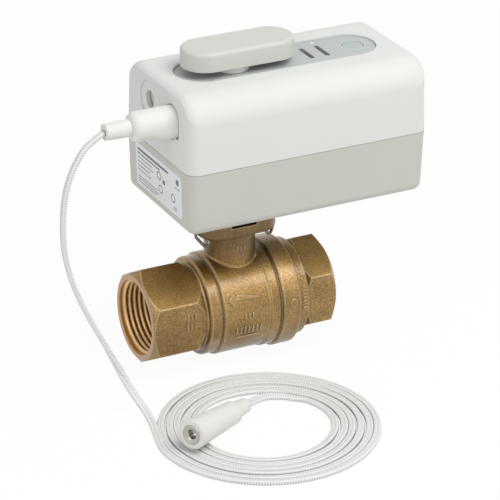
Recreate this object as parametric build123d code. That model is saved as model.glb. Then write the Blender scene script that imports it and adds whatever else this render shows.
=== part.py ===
from build123d import *
import math
import os

os.makedirs("parts", exist_ok=True)

# Motorised 1 inch ball valve with a plug-in leak-sensor lead.
# Millimetres. +X runs along the pipe, +Z up, and the camera side is -Y.
# The origin is the centre of the left port's face, on the pipe's axis.

# Driving sizes of the valve
valve_length = 88.0
hex_across_flats = 38.5
thread_radius = 16.62
thread_length = 18.0
bore_radius = 12.5
stem_share = 0.511364
ball_radius = 17.5
drum_radius = 22.7
collar_radius = 24.4
neck_radius = 11.2
head_bottom_z = 35.0
head_top_z = 44.0

# Driving sizes of the actuator housing
box_length = 113.4
box_width = 63.8
box_ahead_share = 0.305115
box_bottom_z = 48.3
seam_z = 76.0
box_top_z = 108.3
shell_wall = 2.6

# Clearances that every fit shares
running_gap = 0.06
slip_gap = 0.15
overrun = 1.0

stem_x = valve_length * stem_share
box_left_x = stem_x - box_length * box_ahead_share
box_right_x = box_left_x + box_length
box_middle_x = box_left_x + box_length / 2


def save(name, shape):
    """Writes one named piece."""
    export_step(shape, "parts/" + name + ".step")


def post(radius, low, high, x=stem_x, y=0):
    """An upright cylinder between two heights."""
    return Pos(x, y, (low + high) / 2) * Cylinder(radius, high - low)


def bar_x(radius, left, right, y=0, z=0):
    """A cylinder along the pipe between two places."""
    return Pos((left + right) / 2, y, z) * Rot(0, 90, 0) * Cylinder(radius, right - left)


def block(x0, x1, y0, y1, z0, z1):
    """A box between its two corners."""
    return Pos((x0 + x1) / 2, (y0 + y1) / 2, (z0 + z1) / 2) * Box(x1 - x0, y1 - y0, z1 - z0)


def slab(sketch, low, high):
    """A flat outline given thickness between two heights."""
    return extrude(Pos(0, 0, low) * sketch, high - low)


def spun_x(outline):
    """A closed outline of (x, radius) points turned about the pipe's axis."""
    return revolve(make_face(Polyline(*outline, close=True)), Axis.X)


def spun_z(outline):
    """A closed outline of (radius, z) points turned about the stem's axis."""
    face = make_face(Polyline(*[(r, 0, z) for r, z in outline], close=True))
    return Pos(stem_x, 0, 0) * revolve(face, Axis.Z)


def ring_of(major, minor, x, z):
    """An O-ring lying flat round an upright axis."""
    return Pos(x, 0, z) * Torus(major, minor)


# Valve body: cast brass, one piece from the left hexagon to the wide collar

hex_corner_radius = hex_across_flats / 2 / math.cos(math.radians(30))
hex_face_drop = 0.5
hex_chamfer = 3.0
left_hex_share = 0.5444
left_hex_length = stem_x * left_hex_share
hex_back_taper = 5.5
groove_radius = 19.3
shoulder_radius = 21.7
shoulder_near_reach = 18.8
shoulder_far_reach = 13.9
drum_left_reach = 12.9
drum_right_reach = 8.7
band_near_reach = 9.6
band_far_reach = 13.9
band_radius = 23.4
collar_near_reach = 14.6
collar_far_reach = 23.2
shoulder_start_x = stem_x - shoulder_near_reach
shoulder_end_x = stem_x - shoulder_far_reach
drum_start_x = stem_x - drum_left_reach
drum_end_x = stem_x + drum_right_reach
band_start_x = stem_x + band_near_reach
band_end_x = stem_x + band_far_reach
collar_start_x = stem_x + collar_near_reach
collar_end_x = stem_x + collar_far_reach
groove_depth = 0.7
edge_ease = 0.6
thread_runout = 0.9
head_length = 35.6
head_width = 28.6
head_corner = 8.5
head_rim = 2.6
head_floor_z = 38.2
head_edge_round = 1.2
notch_floor_z = 39.8
notch_width = 12.0
neck_fillet = 1.0
stem_radius = 6.0
stem_collar_radius = 8.0
stem_collar_low = 17.95
stem_collar_high = 20.0
washer_thickness = 1.0
packing_radius = 9.0
packing_low = 30.0
packing_height = 3.0
seat_radius = 15.5
seat_depth = 6.3
cavity_radius = 18.4
screwed_radius = 20.0
seal_section = 0.9

half_gap = ball_radius - seat_radius
seat_left_x = stem_x - ball_radius + half_gap + edge_ease
seat_inner_x = seat_left_x + seat_depth
seat_right_x = 2 * stem_x - seat_left_x
connector_nose_x = 2 * stem_x - seat_inner_x
screwed_start_x = connector_nose_x - overrun


outer_turning = (hex_chamfer, hex_across_flats / 2 - hex_face_drop)
inner_turning = (hex_back_taper, hex_across_flats / 2 + edge_ease)


def hexagon_bar(left, right, left_turning, right_turning):
    """A hexagon along the pipe, flats front and back, each end turned to a length and a radius."""
    across = RegularPolygon(hex_across_flats / 2, 6, major_radius=False, rotation=30)
    bar = extrude(Plane.YZ.offset(left) * across, right - left)
    corner = hex_corner_radius + edge_ease
    turned = spun_x([
        (left, 0), (left, left_turning[1]), (left + left_turning[0], corner),
        (right - right_turning[0], corner), (right, right_turning[1]), (right, 0),
    ])
    return bar & turned


body_outline = [
    (left_hex_length - hex_back_taper, 0),
    (left_hex_length - hex_back_taper, groove_radius),
    (shoulder_start_x - edge_ease, groove_radius),
    (shoulder_start_x, shoulder_radius - edge_ease),
    (shoulder_start_x + edge_ease, shoulder_radius),
    (shoulder_end_x, shoulder_radius),
    (shoulder_end_x + groove_depth / 2, shoulder_radius - groove_depth),
    (drum_start_x - groove_depth / 2, shoulder_radius - groove_depth),
    (drum_start_x, drum_radius - edge_ease),
    (drum_start_x + edge_ease, drum_radius),
    (drum_end_x, drum_radius),
    (band_start_x, band_radius),
    (band_end_x - edge_ease, band_radius),
    (band_end_x, band_radius - groove_depth),
    (collar_start_x, band_radius - groove_depth),
    (collar_start_x, collar_radius - edge_ease),
    (collar_start_x + edge_ease, collar_radius),
    (collar_end_x - edge_ease, collar_radius),
    (collar_end_x, collar_radius - edge_ease),
    (collar_end_x, 0),
]
valve_body = spun_x(body_outline) + post(neck_radius, 0, head_bottom_z + edge_ease)
neck_foot = valve_body.edges().filter_by(
    lambda edge: drum_radius / 2 < edge.bounding_box().min.Z
    and edge.bounding_box().max.Z < band_radius + running_gap
)
valve_body = fillet(neck_foot, neck_fillet)
valve_body += hexagon_bar(0, left_hex_length, outer_turning, inner_turning)
head_outline = Pos(stem_x, 0) * RectangleRounded(head_length, head_width, head_corner)
head_pocket = Pos(stem_x, 0) * RectangleRounded(
    head_length - 2 * head_rim, head_width - 2 * head_rim, head_corner - head_rim
)
head = slab(head_outline, head_bottom_z, head_top_z)
valve_body += fillet(head.faces().sort_by(Axis.Z)[0].edges(), head_edge_round)
valve_body -= slab(head_pocket, head_floor_z, head_top_z + overrun)
valve_body -= block(
    stem_x - notch_width / 2, stem_x + notch_width / 2,
    -head_width, head_width, notch_floor_z, head_top_z + overrun,
)
valve_body -= spun_x([
    (-overrun, 0), (-overrun, thread_radius), (thread_length, thread_radius),
    (thread_length + thread_runout, bore_radius),
    (seat_left_x, bore_radius), (seat_left_x, seat_radius + running_gap),
    (seat_inner_x, seat_radius + running_gap), (seat_inner_x, cavity_radius),
    (screwed_start_x, cavity_radius), (screwed_start_x, screwed_radius + running_gap),
    (collar_end_x + overrun, screwed_radius + running_gap), (collar_end_x + overrun, 0),
])
washer_top_z = stem_collar_high + washer_thickness
valve_body -= post(stem_collar_radius + slip_gap, 0, washer_top_z)
valve_body -= post(stem_radius + running_gap, 0, head_top_z)
valve_body -= post(packing_radius + running_gap, packing_low, head_top_z)
save("valve_body", valve_body)

# End connector: brass, screwed into the collar, with the right hexagon

end_flange_radius = 21.7
end_flange_length = 4.8
end_hex_start_x = collar_end_x + end_flange_length
right_thread_x = valve_length - thread_length

end_connector = spun_x([
    (connector_nose_x, 0), (connector_nose_x, screwed_radius - edge_ease),
    (connector_nose_x + edge_ease, screwed_radius), (collar_end_x, screwed_radius),
    (collar_end_x, end_flange_radius), (end_hex_start_x, end_flange_radius),
    (end_hex_start_x + edge_ease, end_flange_radius - edge_ease),
    (end_hex_start_x + edge_ease, 0),
])
end_connector += hexagon_bar(end_hex_start_x, valve_length, outer_turning, outer_turning)
seal_groove_x = collar_end_x - 3 * seal_section
end_connector -= spun_x([
    (connector_nose_x - overrun, 0), (connector_nose_x - overrun, seat_radius + running_gap),
    (seat_right_x, seat_radius + running_gap), (seat_right_x, bore_radius),
    (right_thread_x - thread_runout, bore_radius), (right_thread_x, thread_radius),
    (valve_length + overrun, thread_radius), (valve_length + overrun, 0),
])
seal_trough = bar_x(screwed_radius + overrun, seal_groove_x - seal_section,
                    seal_groove_x + seal_section)
seal_trough -= bar_x(screwed_radius - 2 * seal_section + running_gap,
                     seal_groove_x - 2 * overrun, seal_groove_x + 2 * overrun)
end_connector -= seal_trough
save("end_connector", end_connector)

body_seal = Pos(seal_groove_x, 0, 0) * Rot(0, 90, 0) * Torus(
    screwed_radius - seal_section + running_gap, seal_section - running_gap
)
save("body_seal", body_seal)

# Ball, its two seats and the stem that turns it

slot_width = 6.4
slot_floor_z = 14.0
tongue_length = 13.0

ball = Pos(stem_x, 0, 0) * Sphere(ball_radius)
ball -= bar_x(bore_radius, 0, valve_length)
ball -= block(stem_x - ball_radius, stem_x + ball_radius, -slot_width / 2, slot_width / 2,
              slot_floor_z, ball_radius + overrun)
save("ball", ball)

ball_path = Pos(stem_x, 0, 0) * Sphere(ball_radius + slip_gap)
left_seat = bar_x(seat_radius, seat_left_x, seat_inner_x)
left_seat -= bar_x(bore_radius + slip_gap, 0, valve_length)
left_seat -= ball_path
right_seat = mirror(left_seat, Plane.YZ.offset(stem_x))
save("ball_seats", Compound(children=[left_seat, right_seat]))

square_side = 9.0
square_low_z = 42.2
square_high_z = 49.0
seal_groove_radius = 4.4
seal_low_z = 23.5
seal_step = 4.0
seal_width = 2.0

stem = spun_z([
    (0, stem_collar_low), (stem_collar_radius, stem_collar_low),
    (stem_collar_radius, stem_collar_high), (stem_radius, stem_collar_high),
    (stem_radius, square_low_z), (0, square_low_z),
])
stem += block(
    stem_x - tongue_length / 2, stem_x + tongue_length / 2,
    -slot_width / 2 + slip_gap / 2, slot_width / 2 - slip_gap / 2,
    slot_floor_z + slip_gap, stem_collar_low + edge_ease,
) & post(tongue_length / 2, 0, stem_collar_high)
stem += block(
    stem_x - square_side / 2, stem_x + square_side / 2, -square_side / 2, square_side / 2,
    square_low_z - edge_ease, square_high_z,
) & post(stem_radius, 0, square_high_z)
seal_heights = [seal_low_z, seal_low_z + seal_step]
for height in seal_heights:
    stem -= post(stem_radius + overrun, height - seal_width / 2, height + seal_width / 2) - post(
        seal_groove_radius, 0, square_high_z)
save("stem", stem)

seal_minor = (stem_radius - seal_groove_radius) / 2
stem_seals = [ring_of(seal_groove_radius + seal_minor, seal_minor, stem_x, height)
              for height in seal_heights]
save("stem_seals", Compound(children=stem_seals))

thrust_washer = post(stem_collar_radius, stem_collar_high, washer_top_z)
thrust_washer -= post(stem_radius + running_gap, 0, washer_top_z + overrun)
save("thrust_washer", thrust_washer)

packing_high = packing_low + packing_height
gland_packing = post(packing_radius, packing_low, packing_high)
gland_packing -= post(stem_radius + running_gap, 0, head_top_z)
save("gland_packing", gland_packing)

gland_hex = 17.0
gland_head_high = 41.6
gland_nut = post(packing_radius, packing_high, head_floor_z + edge_ease)
gland_nut += slab(Pos(stem_x, 0) * RegularPolygon(gland_hex / 2, 6, major_radius=False),
                  head_floor_z, gland_head_high)
gland_nut -= post(stem_radius + running_gap, 0, head_top_z)
save("gland_nut", gland_nut)

# Retaining clip: one spring wire round the back of the neck, hooked at both front ends

wire_radius = 0.7
clip_neck_gap = 1.1
clip_head_gap = 0.4
clip_side_gap = 0.25
clip_half_gap = neck_radius + wire_radius + clip_neck_gap
clip_z = head_bottom_z - wire_radius - clip_head_gap
clip_reach = head_length / 2 + wire_radius + clip_side_gap
clip_back_y = 15.0
clip_back_half = 8.0
clip_leg_front_y = -7.5
clip_hook_y = -9.0
clip_hook_z = 29.8
clip_hook_out = 1.8
clip_rise_y = -5.6
clip_rise_z = 35.0
clip_end_y = -2.8
clip_end_z = 43.0
clip_bend = 1.5
clip_back_bend = 5.0

half_clip = [
    (clip_reach, clip_end_y, clip_end_z),
    (clip_reach, clip_rise_y, clip_rise_z),
    (clip_half_gap + clip_hook_out, clip_hook_y, clip_hook_z),
    (clip_half_gap, clip_leg_front_y, clip_z),
    (clip_half_gap, clip_back_y - clip_back_half, clip_z),
    (clip_back_half, clip_back_y, clip_z),
]
clip_points = [(stem_x - x, y, z) for x, y, z in half_clip]
clip_points += [(stem_x + x, y, z) for x, y, z in reversed(half_clip)]
clip_bends = [clip_bend] * 3 + [clip_back_bend] * 4 + [clip_bend] * 3
clip_path = FilletPolyline(*clip_points, radius=clip_bends)
clip_start = Plane(origin=clip_path @ 0, z_dir=clip_path % 0)
retaining_clip = sweep(clip_start * RegularPolygon(wire_radius, 8), path=clip_path)
save("retaining_clip", retaining_clip)

# Gear places: a chain of meshed centres from the stem to the motor

pressure_angle = math.radians(20)
module_share = 0.0088183
fast_module_share = 0.8
output_module = box_length * module_share
fast_module = output_module * fast_module_share
output_teeth = 40
pinion_teeth = 12
wheel_teeth = 36
tooth_backlash = 0.22
tooth_root_share = 1.2
tooth_tip_share = 0.95
gear_face = 5.0
wheel_face = 3.0
axle_radius = 1.5
output_gear_low = 57.0
step_gap = 0.6

output_reach = output_module * (output_teeth + pinion_teeth) / 2
fast_reach = fast_module * (wheel_teeth + pinion_teeth) / 2
second_rise_share = 0.15674
second_rise = box_width * second_rise_share
second_angle = math.degrees(math.asin(second_rise / output_reach))
first_angle = -18.0
motor_angle = -12.25


def place_from(x, y, reach, angle):
    """A gear centre at a centre distance and a direction from another one."""
    turn = math.radians(angle)
    return x + reach * math.cos(turn), y + reach * math.sin(turn)


second_x, second_y = place_from(stem_x, 0, output_reach, second_angle)
first_x, first_y = place_from(second_x, second_y, fast_reach, first_angle)
motor_x, motor_y = place_from(first_x, first_y, fast_reach, motor_angle)

# Housing: two moulded shells with draft, a soft shoulder and a crisp end face

box_corner = 5.4
top_draft = 0.9
bottom_draft = 0.9
shoulder_round = 12.0
end_round = 5.0
bottom_round = 3.8
tongue_height = 2.0
tongue_thickness = 1.2
seal_height = 0.9
floor_top_z = box_bottom_z + shell_wall
roof_inner_z = box_top_z - shell_wall


def box_plan(inset):
    """The housing's outline in plan, drawn in by one inset all round."""
    return Pos(box_middle_x, 0) * RectangleRounded(
        box_length - 2 * inset, box_width - 2 * inset, box_corner - inset
    )


def upper_form(inset):
    """The white half as a closed solid: drafted sides under a rounded roof."""
    high = box_top_z - inset
    drafted = loft([
        Pos(0, 0, seam_z) * box_plan(inset), Pos(0, 0, high) * box_plan(inset + top_draft),
    ])
    half = box_width / 2 - inset
    outline = make_face(Polyline(
        (-half, seam_z), (half, seam_z), (half - top_draft, high), (-half + top_draft, high),
        close=True,
    ))
    outline = fillet(outline.vertices().sort_by(Axis.Y)[2:], shoulder_round - inset)
    left = box_left_x + inset
    roofed = extrude(Plane.YZ.offset(left) * outline, box_length - 2 * inset)
    ends = roofed.faces().filter_by(Axis.X)
    rim = [edge for face in ends for edge in face.edges() if edge.center().Z > seam_z + overrun]
    roofed = fillet(rim, end_round - inset)
    return drafted & roofed


def lower_form(inset):
    """The grey half as a closed solid, a little narrower at its floor."""
    low = box_bottom_z + inset
    return loft([
        Pos(0, 0, low) * box_plan(inset + bottom_draft), Pos(0, 0, seam_z) * box_plan(inset),
    ])


screw_inset_x = 9.0
screw_inset_y = 7.4
screw_boss_radius = 3.4
screw_radius = 1.5
screw_head_radius = 2.8
screw_head_height = 1.8
screw_head_z = 55.0
screw_tip_z = 90.0
screw_places = [
    (x, y)
    for x in (box_left_x + screw_inset_x, box_right_x - screw_inset_x)
    for y in (-box_width / 2 + screw_inset_y, box_width / 2 - screw_inset_y)
]

shaft_base_radius = 9.0
shaft_socket_low = 43.0
socket_bore = shaft_base_radius + running_gap
gearbox_floor_z = 54.4
plate_thickness = 1.5
pillar_radius = 2.0
pillar_left_inset = 15.1
pillar_right_inset = 11.6
pillar_boss_gap = 0.7
pillar_x_left = box_left_x + pillar_left_inset
pillar_x_right = box_right_x - pillar_right_inset
pillar_y = box_width / 2 - screw_inset_y - screw_boss_radius - pillar_radius - pillar_boss_gap
pillar_places = [(x, y) for x in (pillar_x_left, pillar_x_right) for y in (-pillar_y, pillar_y)]

lower_shell = lower_form(0)
floor_rim = lower_shell.faces().sort_by(Axis.Z)[0].edges()
lower_shell = fillet(floor_rim, bottom_round)
lower_shell -= lower_form(shell_wall)
tongue = slab(box_plan(shell_wall - tongue_thickness), seam_z, seam_z + tongue_height)
tongue -= slab(box_plan(shell_wall), seam_z - overrun, seam_z + tongue_height + overrun)
lower_shell += tongue
for x, y in screw_places:
    lower_shell += post(screw_boss_radius, box_bottom_z + shell_wall / 2, seam_z, x, y)
for x, y in pillar_places:
    lower_shell += post(pillar_radius, box_bottom_z + shell_wall / 2, gearbox_floor_z, x, y)
for x, y in screw_places:
    lower_shell -= post(screw_head_radius + slip_gap, 0, screw_head_z, x, y)
    lower_shell -= post(screw_radius + slip_gap, 0, box_top_z, x, y)
lower_shell -= post(socket_bore, 0, box_top_z)
save("lower_shell", lower_shell)

# Mounting socket: the foot under the floor that fits the pocket in the brass head

foot_outline = Pos(stem_x, 0) * RectangleRounded(
    head_length - 2 * head_rim - 2 * slip_gap, head_width - 2 * head_rim - 2 * slip_gap,
    head_corner - head_rim - slip_gap,
)
foot_low_z = gland_head_high + slip_gap
mounting_socket = slab(foot_outline, head_floor_z, box_bottom_z)
mounting_socket += slab(head_outline, head_top_z, box_bottom_z)
mounting_socket -= post(gland_hex / math.sqrt(3) + slip_gap, 0, foot_low_z)
mounting_socket -= post(socket_bore, 0, box_top_z)
save("mounting_socket", mounting_socket)

# Top panel, its pocket in the roof, and what sits in it

panel_length_share = 0.825397
panel_length = box_length * panel_length_share
panel_width = 24.6
panel_offset = 0.65
panel_thickness = 1.5
panel_recess = 0.6
panel_x = box_middle_x - panel_offset
panel_pad_wall = 2.0
panel_top_z = box_top_z - panel_recess
panel_low_z = panel_top_z - panel_thickness
button_end_gap = 9.7
button_x = panel_x + panel_length / 2 - button_end_gap
button_radius = 4.7
light_ring_radius = 5.6
light_ring_wall = 0.75
button_travel = 0.8
button_flange = 1.2
slot_far_gap = 22.5
slot_near_gap = 15.1
slot_xs = (button_x - slot_far_gap, button_x - slot_near_gap)
slot_length = 12.4
slot_breadth = 2.2
led_gap = 14.6
led_x = button_x - led_gap
led_y = 9.6
led_radius = 0.9
shaft_top_radius = 5.0

upper_shell = upper_form(0) - upper_form(shell_wall)
upper_shell -= slab(box_plan(shell_wall + overrun), seam_z - overrun, seam_z + tongue_height)
tongue_space = slab(box_plan(shell_wall - tongue_thickness - slip_gap), seam_z - overrun,
                    seam_z + tongue_height + seal_height)
upper_shell -= tongue_space
panel_pad = slab(
    Pos(panel_x, 0) * SlotOverall(panel_length + 2 * shell_wall, panel_width + 2 * shell_wall),
    panel_low_z - panel_pad_wall, box_top_z - overrun)
upper_shell += panel_pad
for x, y in screw_places:
    boss = post(screw_boss_radius, seam_z, box_top_z, x, y) & upper_form(shell_wall / 2)
    upper_shell += boss
upper_shell -= slab(Pos(panel_x, 0) * SlotOverall(panel_length, panel_width), panel_low_z,
                    box_top_z + overrun)
board_post_radius = 2.2
board_high_z = 91.6
board_boss_gap = 1.3
board_half_width = box_width / 2 - screw_inset_y - screw_boss_radius - board_boss_gap
board_post_inset = 2.4
board_post_y = board_half_width - board_post_inset
left_post_inset = 22.6
right_post_reach = 5.4
motor_share = 0.10582
motor_radius = box_length * motor_share
board_motor_gap = 2.62
board_right_x = motor_x - motor_radius - board_motor_gap
board_post_xs = (box_left_x + left_post_inset, board_right_x - right_post_reach)
board_posts = [(x, y) for x in board_post_xs for y in (-board_post_y, board_post_y)]
for x, y in board_posts:
    board_post = post(board_post_radius, board_high_z, box_top_z, x, y)
    upper_shell += board_post & upper_form(shell_wall / 2)
small_board_high_z = 98.6
small_post_y = 10.5
small_board_posts = [(button_x, y) for y in (-small_post_y, small_post_y)]
for x, y in small_board_posts:
    upper_shell += post(
        board_post_radius, small_board_high_z, panel_low_z - panel_pad_wall / 2, x, y)
for x, y in screw_places:
    upper_shell -= post(screw_radius, 0, screw_tip_z + overrun, x, y)

# Recesses in the left end: the connector's, the power jack's dish and its hole
connector_z = 95.2
connector_radius = 6.4
socket_breadth = 9.0
socket_boss_gap = 2.6
connector_y = (screw_inset_y + screw_boss_radius + socket_breadth / 2 + socket_boss_gap
               - box_width / 2)
connector_recess_gap = 0.35
connector_plug_depth = 3.0
connector_flat_drop = 6.4
connector_flat_corner = 2.0
jack_share = 0.127
jack_y = box_width * jack_share
jack_z = 96.1
jack_dish_radius = 8.2
jack_dish_depth = 0.7
jack_hole_radius = 3.9
pin_radius = 1.75
latch_width = 4.0
latch_drop = 1.6
recess_back_x = box_left_x + top_draft + connector_plug_depth


def connector_outline(gap):
    """The connector's base seen from the left: a round top over a flat foot."""
    radius = connector_radius + gap
    round_top = Pos(connector_y, connector_z) * Circle(radius)
    foot_height = connector_flat_drop + gap
    foot = Pos(connector_y, connector_z - foot_height / 2) * RectangleRounded(
        2 * radius, foot_height + 2 * connector_flat_corner, connector_flat_corner)
    below = Pos(connector_y, connector_z - foot_height / 2) * Rectangle(2 * radius, foot_height)
    return round_top + (foot & below)


def end_prism(outline, left, right):
    """An outline drawn in (y, z), carried along the pipe."""
    return extrude(Plane.YZ.offset(left) * outline, right - left)


recess_wall = 1.6
recess_body = end_prism(
    connector_outline(connector_recess_gap + recess_wall), box_left_x + shell_wall,
    recess_back_x + recess_wall)
upper_shell += recess_body & upper_form(shell_wall / 2)
upper_shell -= end_prism(connector_outline(connector_recess_gap), 0, recess_back_x)
upper_shell -= bar_x(
    pin_radius + connector_recess_gap, 0, box_middle_x / 2, connector_y, connector_z)
latch_z = connector_z - connector_flat_drop - connector_recess_gap
upper_shell -= block(0, box_left_x + top_draft + overrun, connector_y - latch_width / 2,
                     connector_y + latch_width / 2, latch_z - latch_drop, latch_z + overrun)
upper_shell -= bar_x(
    jack_dish_radius, 0, box_left_x + top_draft / 2 + jack_dish_depth, jack_y, jack_z)
upper_shell -= bar_x(jack_hole_radius, 0, box_left_x + shell_wall + overrun, jack_y, jack_z)

bush_radius = 7.2
bush_height = 3.0
upper_shell -= post(shaft_top_radius + slip_gap, roof_inner_z - panel_pad_wall, box_top_z)
upper_shell -= post(bush_radius, 0, panel_low_z - panel_pad_wall + overrun)
upper_shell -= post(
    light_ring_radius, roof_inner_z - shell_wall - panel_pad_wall, box_top_z, button_x)
for x in slot_xs:
    slot = Pos(x, 0) * SlotOverall(slot_length, slot_breadth, rotation=90)
    upper_shell -= slab(slot, panel_low_z - panel_pad_wall - overrun, box_top_z)
upper_shell -= post(led_radius, panel_low_z - panel_pad_wall - overrun, box_top_z, led_x, led_y)
save("upper_shell", upper_shell)

top_panel = slab(
    Pos(panel_x, 0) * SlotOverall(panel_length - 2 * slip_gap, panel_width - 2 * slip_gap),
    panel_low_z, panel_top_z)
top_panel = fillet(top_panel.faces().sort_by(Axis.Z)[-1].edges(), panel_thickness / 4)
top_panel -= post(shaft_top_radius + slip_gap, 0, box_top_z)
top_panel -= post(light_ring_radius, 0, box_top_z, button_x)
for x in slot_xs:
    slot = Pos(x, 0) * SlotOverall(slot_length, slot_breadth, rotation=90)
    top_panel -= slab(slot, 0, box_top_z)
top_panel -= post(led_radius, 0, box_top_z, led_x, led_y)
save("top_panel", top_panel)

ring_low_z = panel_low_z - panel_pad_wall
light_ring = post(light_ring_radius, ring_low_z, panel_top_z, button_x)
light_ring -= post(light_ring_radius - light_ring_wall, 0, box_top_z, button_x)
save("light_ring", light_ring)

button_switch_z = 101.4
push_button = post(button_radius, ring_low_z - button_flange, panel_top_z - running_gap, button_x)
push_button = fillet(push_button.faces().sort_by(Axis.Z)[-1].edges(), button_flange / 3)
push_button += post(
    light_ring_radius, ring_low_z - button_flange - running_gap, ring_low_z - running_gap, button_x)
push_button += post(button_radius / 3, button_switch_z + slip_gap, ring_low_z, button_x)
save("push_button", push_button)

status_light = post(led_radius, small_board_high_z, panel_top_z, led_x, led_y)
save("status_light", status_light)

shell_seal = slab(box_plan(shell_wall - tongue_thickness), seam_z + tongue_height,
                  seam_z + tongue_height + seal_height)
shell_seal -= slab(box_plan(shell_wall - slip_gap), seam_z, seam_z + tongue_height + overrun)
save("shell_seal", shell_seal)

shell_screws = []
for x, y in screw_places:
    screw = post(screw_radius, screw_head_z - screw_head_height, screw_tip_z, x, y)
    screw += post(screw_head_radius, screw_head_z - screw_head_height, screw_head_z, x, y)
    shell_screws.append(screw)
save("shell_screws", Compound(children=shell_screws))

# Gear train: motor pinion, two compound gears and the output gear


def involute(angle):
    """The involute of an angle in radians."""
    return math.tan(angle) - angle


def gear_sketch(module, teeth, phase):
    """A spur gear's outline: involute flanks of three points, one tooth at the phase angle."""
    pitch = module * teeth / 2
    base = pitch * math.cos(pressure_angle)
    tip = pitch + module * tooth_tip_share
    root = pitch - module * tooth_root_share
    half_tooth = math.pi / (2 * teeth) - tooth_backlash * module / (4 * pitch)

    def half_angle(radius):
        slope = math.acos(min(1, base / radius))
        return half_tooth + involute(pressure_angle) - involute(slope)

    low = max(base, root)
    radii = [low, (low + pitch) / 2, pitch, (pitch + tip) / 2, tip]
    flank = [(radius, half_angle(radius)) for radius in radii]
    if root < base:
        flank = [(root, half_angle(base))] + flank
    points = []
    for tooth in range(teeth):
        centre = math.radians(phase) + 2 * math.pi * tooth / teeth
        outline = [(r, centre - a) for r, a in flank] + [(r, centre + a) for r, a in reversed(flank)]
        points += [(r * math.cos(a), r * math.sin(a)) for r, a in outline]
    return make_face(Polyline(*points, close=True))


def gear(module, teeth, phase, x, y, low, high):
    """A spur gear between two heights."""
    return slab(Pos(x, y) * gear_sketch(module, teeth, phase), low, high)


def meshed_phase(driver_phase, driver_teeth, driven_teeth, line_angle):
    """The phase that puts a tooth gap of the driven gear on the driver's tooth."""
    driver_turn = (line_angle - driver_phase) * driver_teeth / driven_teeth
    return line_angle + 180 + driver_turn + 180 / driven_teeth


shaft_gear_radius = 7.0
shaft_upper_radius = 6.0
output_gear_high = output_gear_low + gear_face
cover_low_z = 73.0
cover_high_z = cover_low_z + plate_thickness
lever_low_z = 111.1
lever_high_z = 119.4
shaft_top_z = 116.4
shaft_neck_z = panel_low_z - panel_pad_wall - bush_height + overrun

drive_shaft = spun_z([
    (0, shaft_socket_low), (shaft_base_radius, shaft_socket_low),
    (shaft_base_radius, output_gear_low), (shaft_gear_radius, output_gear_low),
    (shaft_gear_radius, output_gear_high), (shaft_upper_radius, output_gear_high),
    (shaft_upper_radius, shaft_neck_z), (shaft_top_radius, shaft_neck_z),
    (shaft_top_radius, shaft_top_z), (0, shaft_top_z),
])
socket_side = square_side + 2 * slip_gap
drive_shaft -= block(stem_x - socket_side / 2, stem_x + socket_side / 2, -socket_side / 2,
                     socket_side / 2, 0, square_high_z + slip_gap)
shaft_flat_share = 0.7
shaft_flat = shaft_top_radius * shaft_flat_share
drive_shaft -= block(stem_x - 2 * shaft_top_radius, stem_x + 2 * shaft_top_radius, shaft_flat,
                     2 * shaft_top_radius, lever_low_z, shaft_top_z + overrun)
save("drive_shaft", drive_shaft)

output_phase = 0.0
output_gear = gear(
    output_module, output_teeth, output_phase, stem_x, 0, output_gear_low, output_gear_high)
output_gear -= post(shaft_gear_radius, 0, box_top_z)
web_hole_share = 0.27
web_hole_count = 6
output_root = output_module * (output_teeth / 2 - tooth_root_share)
web_hole_reach = (shaft_gear_radius + output_root) / 2
web_hole_radius = (output_root - shaft_gear_radius) * web_hole_share
for index in range(web_hole_count):
    x, y = place_from(stem_x, 0, web_hole_reach, 360 / web_hole_count * index)
    output_gear -= post(web_hole_radius, 0, box_top_z, x, y)
save("output_gear", output_gear)

second_phase = meshed_phase(output_phase, output_teeth, pinion_teeth, second_angle)
second_wheel_low = output_gear_high + step_gap
second_wheel_high = second_wheel_low + wheel_face
second_wheel_phase = 3.0
second_gear = gear(output_module, pinion_teeth, second_phase, second_x, second_y, output_gear_low,
                   second_wheel_low)
second_gear += gear(fast_module, wheel_teeth, second_wheel_phase, second_x, second_y, second_wheel_low,
                    second_wheel_high)
second_gear -= post(axle_radius + running_gap, 0, box_top_z, second_x, second_y)
save("second_gear", second_gear)

first_phase = meshed_phase(second_wheel_phase, wheel_teeth, pinion_teeth, first_angle)
first_wheel_low = second_wheel_high + step_gap
first_wheel_high = first_wheel_low + wheel_face
first_wheel_phase = 2.0
first_gear = gear(fast_module, pinion_teeth, first_phase, first_x, first_y, second_wheel_low,
                  first_wheel_low)
first_gear += gear(fast_module, wheel_teeth, first_wheel_phase, first_x, first_y, first_wheel_low,
                   first_wheel_high)
first_gear -= post(axle_radius + running_gap, 0, box_top_z, first_x, first_y)
save("first_gear", first_gear)

motor_phase = meshed_phase(first_wheel_phase, wheel_teeth, pinion_teeth, motor_angle)
motor_shaft_radius = 1.5
motor_pinion = gear(fast_module, pinion_teeth, motor_phase, motor_x, motor_y, first_wheel_low,
                    first_wheel_high + step_gap)
motor_pinion += post(motor_shaft_radius, first_wheel_low, cover_high_z, motor_x, motor_y)
save("motor_pinion", motor_pinion)

motor_height = 19.0
motor_nose_radius = 4.0
motor_nose_height = 1.4
motor_high_z = cover_high_z + motor_height
gear_motor = post(motor_radius, cover_high_z, motor_high_z, motor_x, motor_y)
gear_motor = chamfer(gear_motor.faces().sort_by(Axis.Z)[-1].edges(), edge_ease)
gear_motor += post(motor_nose_radius, motor_high_z - edge_ease, motor_high_z + motor_nose_height,
                   motor_x, motor_y)
gear_motor -= post(motor_shaft_radius + slip_gap, 0, cover_high_z + step_gap, motor_x, motor_y)
save("gear_motor", gear_motor)

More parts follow.
